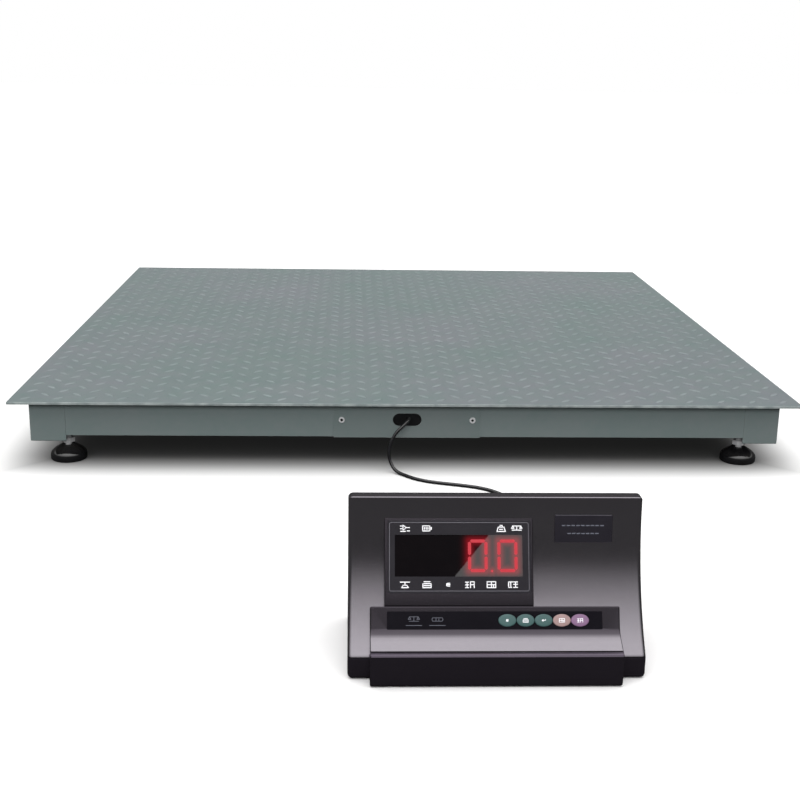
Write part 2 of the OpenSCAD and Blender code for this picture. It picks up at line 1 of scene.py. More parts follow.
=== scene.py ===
import math
import random
import bmesh
import bpy
from mathutils import Matrix, Vector


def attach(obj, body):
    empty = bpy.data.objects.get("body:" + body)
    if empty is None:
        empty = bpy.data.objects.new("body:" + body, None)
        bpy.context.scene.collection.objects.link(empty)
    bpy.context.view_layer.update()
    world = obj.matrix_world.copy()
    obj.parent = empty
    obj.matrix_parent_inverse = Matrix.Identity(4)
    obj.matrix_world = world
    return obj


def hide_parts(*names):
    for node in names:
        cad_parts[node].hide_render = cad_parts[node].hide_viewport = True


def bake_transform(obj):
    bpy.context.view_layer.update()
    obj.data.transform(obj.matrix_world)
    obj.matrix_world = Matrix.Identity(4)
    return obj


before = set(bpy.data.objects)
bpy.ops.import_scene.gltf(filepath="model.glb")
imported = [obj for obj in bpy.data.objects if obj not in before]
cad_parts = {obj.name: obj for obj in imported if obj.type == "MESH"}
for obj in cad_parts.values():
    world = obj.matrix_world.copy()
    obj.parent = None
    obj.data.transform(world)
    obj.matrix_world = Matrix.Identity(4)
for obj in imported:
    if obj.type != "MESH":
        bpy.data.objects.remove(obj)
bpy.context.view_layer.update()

mm = 0.001
print("frame loaded:", len(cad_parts), "nodes")


# ---- camera, floor and light ----

cameraSetup = {
    "place": (-0.0882, -2.0603, 0.6140),
    "pitch": -15.605, "yaw": -2.349, "roll": -0.95,
    "lens": 56.0, "sensor": 36.0,
}

def makeCamera(setup):
    data = bpy.data.cameras.new("studioCamera")
    data.lens = setup["lens"]
    data.sensor_width = setup["sensor"]
    data.clip_start, data.clip_end = 0.05, 60
    camera = bpy.data.objects.new("studioCamera", data)
    turn = (Matrix.Rotation(math.radians(setup["yaw"]), 4, "Z")
            @ Matrix.Rotation(math.radians(90 + setup["pitch"]), 4, "X")
            @ Matrix.Rotation(math.radians(-setup["roll"]), 4, "Z"))
    camera.matrix_world = Matrix.Translation(setup["place"]) @ turn
    bpy.context.scene.collection.objects.link(camera)
    bpy.context.scene.camera = camera

makeCamera(cameraSetup)


studio = {
    "worldSeen": 1.0, "worldLight": 2.1, "skyLow": 0.06, "skyFrom": 0.31, "skyTo": 0.90, "skyLean": 0.10,
    "skyColor": (1.0, 0.995, 0.99, 1),
    "floorSize": 40.0, "floorGlow": 0.01, "floorWhite": 1.02, "floorDim": 0.062,
    "shadeCentreY": 0.337, "shadeHalf": 0.6, "shadeSoft": 0.085, "shadeDark": 0.18,
    "lights": [
        # name, place, aim, width, depth, watts, lights the floor; none of them shows in gloss
        ("topSoftbox", (0.1, 0.3, 2.8), (0.0, 0.2, 0.0), 2.4, 1.8, 3, True),
        ("frontSoftbox", (-0.5, -3.6, 1.5), (0.05, -0.3, 0.1), 2.6, 1.0, 92, False),
        ("leftSoftbox", (-3.4, 0.2, 1.2), (0.0, 0.2, 0.1), 2.6, 1.0, 45, False),
        ("rightSoftbox", (3.4, 0.2, 1.2), (0.0, 0.2, 0.1), 2.6, 1.0, 45, False),
        ("rearSoftbox", (0.2, 3.6, 1.2), (0.0, 0.2, 0.1), 3.0, 1.0, 60, False),
    ],
    # a card that shows only in gloss, as a slanting light in the display's lens
    # its corners are measured along and across it
    "card": {"place": (0.23930, -3.22786, 1.20551), "along": (0.63744, 0.38960, 0.66474),
             "facing": (0.08662, -0.89351, 0.44061), "glow": 22.0,
             "corners": [(-0.003, 0.003), (0.172, 0.003), (0.240, -0.076), (0.136, -0.166)]},
}

def addNode(tree, kind, inputs=None, **settings):
    # a shader node; each of its inputs is given a fixed value or another node's output
    node = tree.nodes.new("ShaderNode" + kind)
    for key, value in settings.items():
        setattr(node, key, value)
    for key, value in (inputs or {}).items():
        if isinstance(value, bpy.types.NodeSocket):
            tree.links.new(value, node.inputs[key])
        else:
            node.inputs[key].default_value = value
    return node

def emptyTree(owner):
    owner.use_nodes = True
    owner.node_tree.nodes.clear()
    return owner.node_tree

def makeWorld(setup):
    world = bpy.data.worlds.new("studioWorld")
    tree = emptyTree(world)
    coord, path = addNode(tree, "TexCoord"), addNode(tree, "LightPath")
    lean = addNode(tree, "VectorMath", {0: coord.outputs["Generated"], 1: (0.0, -setup["skyLean"], 1.0)},
                   operation="DOT_PRODUCT")
    # dim low down, bright overhead, a little more so in front
    ramp = addNode(tree, "MapRange", {"Value": lean.outputs["Value"], "From Min": setup["skyFrom"],
                                      "From Max": setup["skyTo"], "To Min": setup["skyLow"],
                                      "To Max": setup["worldLight"]})
    lit = addNode(tree, "Background", {"Color": setup["skyColor"], "Strength": ramp.outputs["Result"]})
    seen = addNode(tree, "Background", {"Color": (1, 1, 1, 1), "Strength": setup["worldSeen"]})
    byCamera = path.outputs["Is Camera Ray"]
    mix = addNode(tree, "MixShader", {0: byCamera, 1: lit.outputs[0], 2: seen.outputs[0]})
    addNode(tree, "OutputWorld", {"Surface": mix.outputs[0]})
    bpy.context.scene.world = world
    bpy.context.scene.view_settings.view_transform = "Standard"

def stagePiece(name, corners, material):
    mesh = bpy.data.meshes.new(name)
    mesh.from_pydata(corners, [], [(0, 1, 2, 3)])
    mesh.materials.append(material)
    obj = bpy.data.objects.new(name, mesh)
    bpy.context.scene.collection.objects.link(obj)
    return obj

def makeFloor(setup):
    mat = bpy.data.materials.new("studioFloor")
    tree = emptyTree(mat)
    half, white, dark = setup["floorSize"] / 2, setup["floorWhite"], setup["floorDim"]
    # a soft shade on the paper inside the platform's outline
    coord, path = addNode(tree, "TexCoord"), addNode(tree, "LightPath")
    offset = addNode(tree, "VectorMath", {0: coord.outputs["Object"], 1: (0.0, setup["shadeCentreY"], 0.0)},
                     operation="SUBTRACT")
    reach = addNode(tree, "VectorMath", {0: offset.outputs[0]}, operation="ABSOLUTE")
    split = addNode(tree, "SeparateXYZ", {0: reach.outputs[0]})
    widest = addNode(tree, "Math", {0: split.outputs["X"], 1: split.outputs["Y"]}, operation="MAXIMUM")
    shade = addNode(tree, "MapRange", {"Value": widest.outputs[0],
                                       "From Min": setup["shadeHalf"] - setup["shadeSoft"],
                                       "From Max": setup["shadeHalf"] + setup["shadeSoft"] / 2,
                                       "To Min": white * setup["shadeDark"], "To Max": white},
                    interpolation_type="SMOOTHSTEP")
    paper = addNode(tree, "BsdfDiffuse", {"Color": shade.outputs["Result"]})
    glow = addNode(tree, "Emission", {"Strength": setup["floorGlow"]})
    add = addNode(tree, "AddShader", {0: paper.outputs[0], 1: glow.outputs[0]})
    dim = addNode(tree, "BsdfDiffuse", {"Color": (dark, dark, dark, 1)})
    byCamera = path.outputs["Is Camera Ray"]
    mix = addNode(tree, "MixShader", {0: byCamera, 1: dim.outputs[0], 2: add.outputs[0]})
    addNode(tree, "OutputMaterial", {"Surface": mix.outputs[0]})
    corners = [(-half, -half, 0), (half, -half, 0), (half, half, 0), (-half, half, 0)]
    return stagePiece("studioFloor", corners, mat)

def makeLights(setup, floor):
    # the low lights leave the floor out, so that it stays dark under the platform
    spared = bpy.data.collections.new("sparedFloor")
    spared.objects.link(floor)
    spared.collection_objects[0].light_linking.link_state = "EXCLUDE"
    for name, place, aim, width, depth, watts, onFloor in setup["lights"]:
        away = Vector(aim) - Vector(place)
        data = bpy.data.lights.new(name, "AREA")
        data.shape = "RECTANGLE"
        data.size, data.size_y, data.energy = width, depth, watts
        lamp = bpy.data.objects.new(name, data)
        lamp.matrix_world = Matrix.Translation(place) @ away.to_track_quat("-Z", "Y").to_matrix().to_4x4()
        bpy.context.scene.collection.objects.link(lamp)
        lamp.visible_glossy = False
        if not onFloor:
            lamp.light_linking.receiver_collection = spared

def makeCard(card):
    along, facing = Vector(card["along"]).normalized(), Vector(card["facing"]).normalized()
    across = facing.cross(along)
    mat = bpy.data.materials.new("lensCard")
    tree = emptyTree(mat)
    glow = addNode(tree, "Emission", {"Strength": card["glow"]})
    addNode(tree, "OutputMaterial", {"Surface": glow.outputs[0]})
    corners = [Vector(card["place"]) + along * a + across * b for a, b in card["corners"]]
    obj = stagePiece("lensCard", corners, mat)
    obj.visible_camera = obj.visible_diffuse = obj.visible_shadow = False
    return obj

makeWorld(studio)
makeLights(studio, makeFloor(studio))
lensCard = makeCard(studio["card"])
print("studio ready")


# ---- mesh helpers ----

def addObject(name, mesh):
    obj = bpy.data.objects.new(name, mesh)
    bpy.context.scene.collection.objects.link(obj)
    return obj

def objectFrom(name, verts, faces):
    mesh = bpy.data.meshes.new(name)
    mesh.from_pydata([tuple(v) for v in verts], [], faces)
    mesh.validate()
    bm = bmesh.new()
    bm.from_mesh(mesh)
    bmesh.ops.recalc_face_normals(bm, faces=bm.faces)
    bm.to_mesh(mesh)
    bm.free()
    return addObject(name, mesh)

def settle(obj):
    # the modifiers' result becomes the piece's own mesh
    bpy.context.view_layer.update()
    graph = bpy.context.evaluated_depsgraph_get()
    mesh = bpy.data.meshes.new_from_object(obj.evaluated_get(graph))
    obj.modifiers.clear()
    obj.data = mesh
    return obj

def smooth(obj, angle=32, weighted=True):
    mesh = obj.data
    bm = bmesh.new()
    bm.from_mesh(mesh)
    for face in bm.faces:
        face.smooth = True
    for edge in bm.edges:
        sharp = len(edge.link_faces) == 2 and edge.calc_face_angle(0) > math.radians(angle)
        edge.smooth = not sharp
    bm.to_mesh(mesh)
    bm.free()
    if weighted:
        mod = obj.modifiers.new("evenNormals", "WEIGHTED_NORMAL")
        mod.keep_sharp = True
        settle(obj)
    return obj

def bevel(obj, width, segments=2, angle=30):
    # rounds the edges, and marks the new faces for the edge wear and the deck's painted edge highlight
    for i in range(2):
        obj.data.materials.append(None)
    mod = obj.modifiers.new("softEdges", "BEVEL")
    mod.width = width
    mod.segments = segments
    mod.limit_method = "ANGLE"
    mod.angle_limit = math.radians(angle)
    mod.material = 1
    settle(obj)
    mesh = obj.data
    marks = mesh.attributes.get("edgeWearAndHighlightMark") or mesh.attributes.new("edgeWearAndHighlightMark", "FLOAT", "FACE")
    for face in mesh.polygons:
        marks.data[face.index].value = 1.0 if face.material_index == 1 else 0.0
        face.material_index = 0
    mesh.materials.clear()
    return obj

def carve(obj, tool, operation="DIFFERENCE"):
    mod = obj.modifiers.new("carve", "BOOLEAN")
    mod.operation = operation
    mod.solver = "EXACT"
    mod.object = tool
    settle(obj)
    bpy.data.objects.remove(tool)
    return obj

def prism(name, outline, low, high, axis="X"):
    # an outline drawn out along one axis; the outline's pairs are the two other axes in order
    def place(pair, along):
        a, b = pair
        return {"X": (along, a, b), "Y": (a, along, b), "Z": (a, b, along)}[axis]
    count = len(outline)
    verts = [place(p, low) for p in outline] + [place(p, high) for p in outline]
    sides = [(i, (i + 1) % count, (i + 1) % count + count, i + count) for i in range(count)]
    return objectFrom(name, verts, sides + [tuple(range(count)), tuple(range(count, 2 * count))])

def ringFaces(first, count):
    # the faces between one ring of points and the next
    return [(first + k, first + (k + 1) % count, first + count + (k + 1) % count, first + count + k)
            for k in range(count)]

def frameFaces(count):
    # the faces of a closed frame: two rings of points on one side, then two on the other
    faces = []
    for k in range(count):
        n = (k + 1) % count
        a, b, c, d = 0, count, 2 * count, 3 * count
        faces += [(a + k, a + n, b + n, b + k), (c + k, d + k, d + n, c + n), (a + k, c + k, c + n, a + n),
                  (b + k, b + n, d + n, d + k)]
    return faces

def inset(outline, distance):
    # the outline moved inwards by a distance
    area = sum(a[0] * b[1] - b[0] * a[1] for a, b in zip(outline, outline[1:] + outline[:1]))
    turn = 1 if area > 0 else -1
    count = len(outline)
    out = []
    for i in range(count):
        p = Vector(outline[i])
        before = (p - Vector(outline[i - 1])).normalized()
        after = (Vector(outline[(i + 1) % count]) - p).normalized()
        normals = [Vector((-v.y, v.x)) * turn for v in (before, after)]
        middle = (normals[0] + normals[1]).normalized()
        out.append(tuple(p + middle * distance / max(middle.dot(normals[0]), 0.4)))
    return out

def roundedPrism(name, outlineAt, low, high, radius, steps=5):
    # a prism along X whose two ends are rounded over; outlineAt gives the outline moved inwards by a distance
    sections = []
    for k in range(steps + 1):
        a = math.pi / 2 * k / steps
        sections.append((radius * (1 - math.sin(a)), radius * (1 - math.cos(a))))
    stations = [(low + reach, drop) for reach, drop in reversed(sections)]
    stations += [(high - reach, drop) for reach, drop in sections]
    count = len(outlineAt(0))
    verts, faces = [], []
    for x, drop in stations:
        outline = outlineAt(drop)
        verts += [(x, a, b) for a, b in outline]
    for s in range(len(stations) - 1):
        faces += ringFaces(s * count, count)
    faces += [tuple(range(count)), tuple(range(len(verts) - count, len(verts)))]
    return objectFrom(name, verts, faces)

def boxPiece(name, low, high, radius=0.0, segments=2):
    (x0, y0, z0), (x1, y1, z1) = low, high
    obj = prism(name, [(y0, z0), (y1, z0), (y1, z1), (y0, z1)], x0, x1)
    return bevel(obj, radius, segments) if radius else obj

def roundedRect(width, height, radius, steps=5, centre=(0, 0)):
    points = []
    for cx, cy, start in ((1, 1, 0), (-1, 1, 90), (-1, -1, 180), (1, -1, 270)):
        for i in range(steps + 1):
            a = math.radians(start + 90 * i / steps)
            points.append((centre[0] + cx * (width / 2 - radius) + radius * math.cos(a),
                           centre[1] + cy * (height / 2 - radius) + radius * math.sin(a)))
    return points

def lathe(name, profile, centre, segments=48):
    # profile is [radius, height]; the first and last points lie on the axis
    verts, faces, rings = [], [], []
    for r, z in profile:
        if r < 1e-7:
            rings.append([len(verts)])
            verts.append((centre[0], centre[1], centre[2] + z))
            continue
        rings.append(list(range(len(verts), len(verts) + segments)))
        for k in range(segments):
            a = 2 * math.pi * k / segments
            verts.append((centre[0] + r * math.cos(a), centre[1] + r * math.sin(a), centre[2] + z))
    for low, high in zip(rings, rings[1:]):
        for k in range(segments):
            n = (k + 1) % segments
            if len(low) == 1:
                faces.append((low[0], high[n], high[k]))
            elif len(high) == 1:
                faces.append((low[k], low[n], high[0]))
            else:
                faces.append((low[k], low[n], high[n], high[k]))
    return objectFrom(name, verts, faces)

def joined(name, pieces):
    bm = bmesh.new()
    for piece in pieces:
        bm.from_mesh(piece.data)
        bpy.data.objects.remove(piece)
    mesh = bpy.data.meshes.new(name)
    bm.to_mesh(mesh)
    bm.free()
    return addObject(name, mesh)

def placed(obj, matrix):
    obj.data.transform(matrix)
    return obj

def finishPiece(obj, body, material, nodes=()):
    obj.data.materials.clear()
    obj.data.materials.append(material)
    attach(obj, body)
    if nodes:
        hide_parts(*nodes)
    return obj


# ---- signal cable ----

cable = {
    "diameter": 5 * mm, "sides": 10, "length": 5.0,
    "coilCentre": (0.120, -0.623), "coilInner": 20 * mm, "coilOuter": 40 * mm, "turnPoints": 20,
    # the same points as the part's own routes
    "route": [
        (-2, -228, 74), (-1, -240, 76), (1, -250, 78), (-8, -258, 70), (-19, -262, 60), (-27, -265, 46),
        (-30, -267, 31), (-28, -270, 17), (-21, -277, 6), (-10, -288, 2.5), (5, -305, 2.5),
        (23, -318, 2.5), (45, -327, 2.5), (73, -336, 2.5), (98, -346, 2.5), (117, -360, 2.5),
        (132, -379, 2.5), (143, -402, 2.5), (150, -430, 2.5), (154, -465, 2.5), (157, -505, 2.5),
        (159, -550, 2.5), (160, -585, 2.5), (160, -612, 2.5)],
    "tail": [
        (160, -634, 22), (160, -648, 20), (157, -661, 18), (150, -674, 18), (140, -687, 23),
        (130, -699, 33), (124.5, -708, 41), (123, -715, 44), (123, -720, 44)],
}

def curveThrough(points, steps, floorHeight):
    # Catmull-Rom line that never dips below the floor
    out = []
    last = len(points) - 1
    for i in range(last):
        p = [Vector(points[max(0, min(last, i + k))]) for k in (-1, 0, 1, 2)]
        for s in range(steps):
            t = s / steps
            q = 0.5 * (2 * p[1] + (p[2] - p[0]) * t + (2 * p[0] - 5 * p[1] + 4 * p[2] - p[3]) * t * t
                       + (3 * p[1] - p[0] - 3 * p[2] + p[3]) * t ** 3)
            q.z = max(q.z, floorHeight)
            out.append(q)
    return out + [Vector(points[-1])]

def coilLine(setup, turns):
    # clockwise turns, winding in and out between the inner and outer radius, one layer on another
    d, count = setup["diameter"], setup["turnPoints"]
    inner, outer = setup["coilInner"], setup["coilOuter"]
    perLayer = (outer - inner) / d + 1
    cx, cy = setup["coilCentre"]
    line = []
    for i in range(int(turns * count) + 1):
        t = i / count
        layer = min(int(t / perLayer), 4)
        share = t / perLayer - layer
        slide = min(max(share * perLayer - 0.5, 0), perLayer - 1) * d  # half a turn at each end stays level
        radius = outer - slide if layer % 2 == 0 else inner + slide
        rise = min(max(share * perLayer - (perLayer - 0.5), 0) * 2, 1) if layer < 4 else 0
        a = -2 * math.pi * t
        line.append(Vector((cx + radius * math.cos(a), cy + radius * math.sin(a), d * (layer + rise + 0.5))))
    return line

def lineLength(line):
    return sum((b - a).length for a, b in zip(line, line[1:]))

def sweep(name, line, radius, sides):
    # rings carried along the line without twist
    last = len(line) - 1
    tangents = [(line[min(i + 1, last)] - line[max(i - 1, 0)]).normalized() for i in range(last + 1)]
    side = tangents[0].orthogonal().normalized()
    verts, faces = [], []
    for i, (point, tangent) in enumerate(zip(line, tangents)):
        side = (side - tangent * side.dot(tangent)).normalized()
        up = tangent.cross(side)
        for k in range(sides):
            a = 2 * math.pi * k / sides
            verts.append(point + radius * (math.cos(a) * side + math.sin(a) * up))
        if i:
            faces += ringFaces((i - 1) * sides, sides)
    faces += [tuple(range(sides)), tuple(range(len(verts) - sides, len(verts)))]
    return objectFrom(name, verts, faces)

def cableLine(setup):
    route = curveThrough([Vector(p) * mm for p in setup["route"]], 3, setup["diameter"] / 2)
    tail = curveThrough([Vector(p) * mm for p in setup["tail"]], 3, setup["diameter"] / 2)
    missing = setup["length"] - lineLength(route) - lineLength(tail)
    turns = 1
    while lineLength(coilLine(setup, turns + 1)) < missing:
        turns += 1
    coil = coilLine(setup, turns)
    print("cable: turns in the coil", turns, "length", round(lineLength(route + coil + tail), 3))
    return route + coil + tail

cablePath = cableLine(cable)
cableTube = sweep("signalCable", cablePath, cable["diameter"] / 2, cable["sides"])
smooth(cableTube, 60, weighted=False)
print("cable laid")


# ---- shader effects ----

def tint(red, green, blue):
    # a screen colour, 0 to 255, as the renderer's linear colour
    return tuple(((c / 255 + 0.055) / 1.055) ** 2.4 if c > 10 else c / 255 / 12.92
                 for c in (red, green, blue)) + (1,)

kinds = {"color": "NodeSocketColor", "value": "NodeSocketFloat"}

def newGroup(name, inputs, outputs):
    group = bpy.data.node_groups.new(name, "ShaderNodeTree")
    for label, kind, value in inputs:
        group.interface.new_socket(label, in_out="INPUT", socket_type=kinds[kind]).default_value = value
    for label, kind in outputs:
        group.interface.new_socket(label, in_out="OUTPUT", socket_type=kinds[kind])
    return group, group.nodes.new("NodeGroupInput").outputs, group.nodes.new("NodeGroupOutput").inputs

def finishGroup(group, out, results):
    for label, socket in results.items():
        group.links.new(socket, out[label])
    return group

def noiseNode(tree, scale, detail=3.0, stretch=None):
    # noise in the piece's own coordinates
    vector = addNode(tree, "TexCoord").outputs["Object"]
    if stretch:
        vector = addNode(tree, "Mapping", {"Vector": vector, "Scale": stretch}).outputs["Vector"]
    return addNode(tree, "TexNoise", {"Vector": vector, "Scale": scale, "Detail": detail}).outputs[0]

def rangeNode(tree, source, low, high, toLow=0.0, toHigh=1.0):
    return addNode(tree, "MapRange", {"Value": source, "From Min": low, "From Max": high,
                                      "To Min": toLow, "To Max": toHigh}).outputs["Result"]

def mathNode(tree, operation, first, second, clamp=False):
    return addNode(tree, "Math", {0: first, 1: second}, operation=operation, use_clamp=clamp).outputs[0]

def mixColor(tree, share, first, second):
    return addNode(tree, "Mix", {0: share, 6: first, 7: second}, data_type="RGBA").outputs[2]

def makeToneGroup(broadShare=0.62):
    # two colours mixed by broad and fine noise
    group, given, out = newGroup("toneMottle", [
        ("Base", "color", (0.2, 0.2, 0.2, 1)), ("Second", "color", (0.3, 0.3, 0.3, 1)),
        ("Scale", "value", 12.0), ("Contrast", "value", 0.5)], [("Color", "color")])
    broad = noiseNode(group, given["Scale"], 4.0)
    fine = noiseNode(group, mathNode(group, "MULTIPLY", given["Scale"], 9.0), 5.0)
    blend = mathNode(group, "ADD", mathNode(group, "MULTIPLY", broad, broadShare),
                     mathNode(group, "MULTIPLY", fine, 1 - broadShare))
    spread = mathNode(group, "SUBTRACT", 0.55, mathNode(group, "MULTIPLY", given["Contrast"], 0.5))
    low = mathNode(group, "SUBTRACT", 0.5, mathNode(group, "MULTIPLY", spread, 0.5))
    high = mathNode(group, "ADD", 0.5, mathNode(group, "MULTIPLY", spread, 0.5))
    mask = rangeNode(group, blend, low, high)
    return finishGroup(group, out, {"Color": mixColor(group, mask, given["Base"], given["Second"])})

def makeVeilGroup(name, label, second, amount, maskAt, inputs=()):
    # a second colour over the first, where two masks meet
    group, given, out = newGroup(name, [
        ("Color", "color", (0.2, 0.2, 0.2, 1)), (label, "color", second), ("Amount", "value", amount),
        *inputs], [("Color", "color")])
    first, patch = maskAt(group, given)
    mask = mathNode(group, "MULTIPLY", mathNode(group, "MULTIPLY", first, patch), given["Amount"], clamp=True)
    return finishGroup(group, out, {"Color": mixColor(group, mask, given["Color"], given[label])})

def edgeWearAndHighlightMask(group, given):
    # edges that stick out are rubbed lighter, in patches; on the deck plate this lightening is mostly a
    # painted highlight along its edges
    mark = addNode(group, "Attribute", attribute_name="edgeWearAndHighlightMark")
    return mark.outputs["Fac"], rangeNode(group, noiseNode(group, given["Scale"], 4.0), 0.35, 0.65, 0.4, 1.0)

def dustMask(group, given):
    # a thin, uneven veil of dust on what faces up
    split = addNode(group, "SeparateXYZ", {0: addNode(group, "NewGeometry").outputs["Normal"]})
    cloud = rangeNode(group, noiseNode(group, 24.0, 5.0), 0.35, 0.7)
    return rangeNode(group, split.outputs["Z"], 0.3, 1.0), cloud

def raisedWearAndHighlightMask(group, given):
    # lightens what stands above the deck's face, more on the crests: partly wear, partly a painted highlight
    # where the tears catch the light
    split = addNode(group, "SeparateXYZ", {0: addNode(group, "TexCoord").outputs["Object"]})
    return (rangeNode(group, split.outputs["Z"], given["From"], given["To"]),
            rangeNode(group, noiseNode(group, 7.0, 3.0), 0.3, 0.7, 0.45, 1.0))

def makeGrainGroup():
    # moulded or sprayed texture: a height for the bump and a varied roughness
    group, given, out = newGroup("surfaceGrain", [
        ("Scale", "value", 900.0), ("Roughness", "value", 0.5), ("Vary", "value", 0.1)],
        [("Height", "value"), ("Roughness", "value")])
    fine = noiseNode(group, given["Scale"], 2.0)
    patch = noiseNode(group, mathNode(group, "MULTIPLY", given["Scale"], 0.03), 4.0)
    shift = mathNode(group, "MULTIPLY", mathNode(group, "SUBTRACT", patch, 0.5), given["Vary"])
    rough = mathNode(group, "ADD", given["Roughness"], mathNode(group, "MULTIPLY", shift, 2.0), clamp=True)
    return finishGroup(group, out, {"Height": fine, "Roughness": rough})

def makeBrushGroup():
    # fine lines along X, as on drawn or milled metal
    group, given, out = newGroup("brushedLines", [
        ("Roughness", "value", 0.3), ("Vary", "value", 0.15)], [("Height", "value"), ("Roughness", "value")])
    line = noiseNode(group, 40.0, 3.0, stretch=(0.6, 30.0, 30.0))
    shift = mathNode(group, "MULTIPLY", mathNode(group, "SUBTRACT", line, 0.5), given["Vary"])
    return finishGroup(group, out, {
        "Height": line, "Roughness": mathNode(group, "ADD", given["Roughness"], shift, clamp=True)})

effects = {
    "tone": makeToneGroup(), "grain": makeGrainGroup(), "brush": makeBrushGroup(),
    "wearAndHighlight": makeVeilGroup("edgeWearAndHighlight", "Worn", (0.5, 0.5, 0.5, 1), 0.3, edgeWearAndHighlightMask, [("Scale", "value", 60.0)]),
    "dust": makeVeilGroup("dustVeil", "Dust", tint(150, 146, 140), 0.1, dustMask),
    "raised": makeVeilGroup("raisedWearAndHighlight", "Raised", (0.4, 0.4, 0.4, 1), 0.5, raisedWearAndHighlightMask,
                            [("From", "value", 0.1), ("To", "value", 0.2)]),
}
print("effects ready")


# ---- materials ----

def useGroup(tree, key, **values):
    return addNode(tree, "Group", values, node_tree=effects[key]).outputs

def markNode(tree, name):
    return addNode(tree, "Attribute", attribute_name=name).outputs["Fac"]

plainSockets = {  # socket: (the look's word for it, the usual value)
    "Metallic": ("metal", 0.0), "Specular IOR Level": ("specular", 0.5), "Coat Weight": ("coat", 0.0),
    "Coat Roughness": ("coatRough", 0.1),
}

def surface(name, look):
    mat = bpy.data.materials.new(name)
    mat.use_nodes = True
    tree = mat.node_tree
    shader = tree.nodes["Principled BSDF"]
    color = useGroup(tree, "tone", Base=tint(*look["base"]), Second=tint(*look["second"]),
                     Scale=look.get("toneScale", 12.0), Contrast=look.get("contrast", 0.5))["Color"]
    # the tears' tops lighter: wear and a painted highlight
    if "raised" in look:
        low, high, amount, paint = look["raised"]
        color = useGroup(tree, "raised", Color=color, Raised=tint(*paint), From=low, To=high,
                         Amount=amount)["Color"]
    # painted shade: the console's and display's raised fronts take the darker panel colour
    if "panel" in look:
        color = mixColor(tree, markNode(tree, "panelShadeMark"), color, tint(*look["panel"]))
    if "wornAndLitEdge" in look:
        color = useGroup(tree, "wearAndHighlight", Color=color, Worn=tint(*look["wornAndLitEdge"]), Amount=look["wearAndHighlight"])["Color"]
    if "dust" in look:
        color = useGroup(tree, "dust", Color=color, Amount=look["dust"])["Color"]
    if look.get("brushed"):
        work = useGroup(tree, "brush", Roughness=look["rough"], Vary=look.get("vary", 0.15))
    else:
        work = useGroup(tree, "grain", Scale=look.get("grain", 900.0), Roughness=look["rough"],
                        Vary=look.get("vary", 0.08))
    bump = addNode(tree, "Bump", {"Strength": look.get("bump", 0.15), "Distance": look.get("depth", 0.0003),
                                  "Height": work["Height"]})
    varied = {"Base Color": color, "Roughness": work["Roughness"], "Normal": bump.outputs[0]}
    for label, source in varied.items():
        tree.links.new(source, shader.inputs[label])
    for label, (word, usual) in plainSockets.items():
        shader.inputs[label].default_value = look.get(word, usual)
    # painted glow: the lens around the lit digits shines by its own emission, in place of the digits' spilled
    # light
    if "halo" in look:
        glow = mixColor(tree, markNode(tree, "halo"), (0.0, 0.0, 0.0, 1), tint(*look["halo"]))
        tree.links.new(glow, shader.inputs["Emission Color"])
        shader.inputs["Emission Strength"].default_value = 1.0
    if "glow" in look:
        first, second, strength = look["glow"]
        glow = useGroup(tree, "tone", Base=tint(*first), Second=tint(*second), Scale=300.0,
                        Contrast=0.2)["Color"]
        tree.links.new(glow, shader.inputs["Emission Color"])
        shader.inputs["Emission Strength"].default_value = strength
    return mat

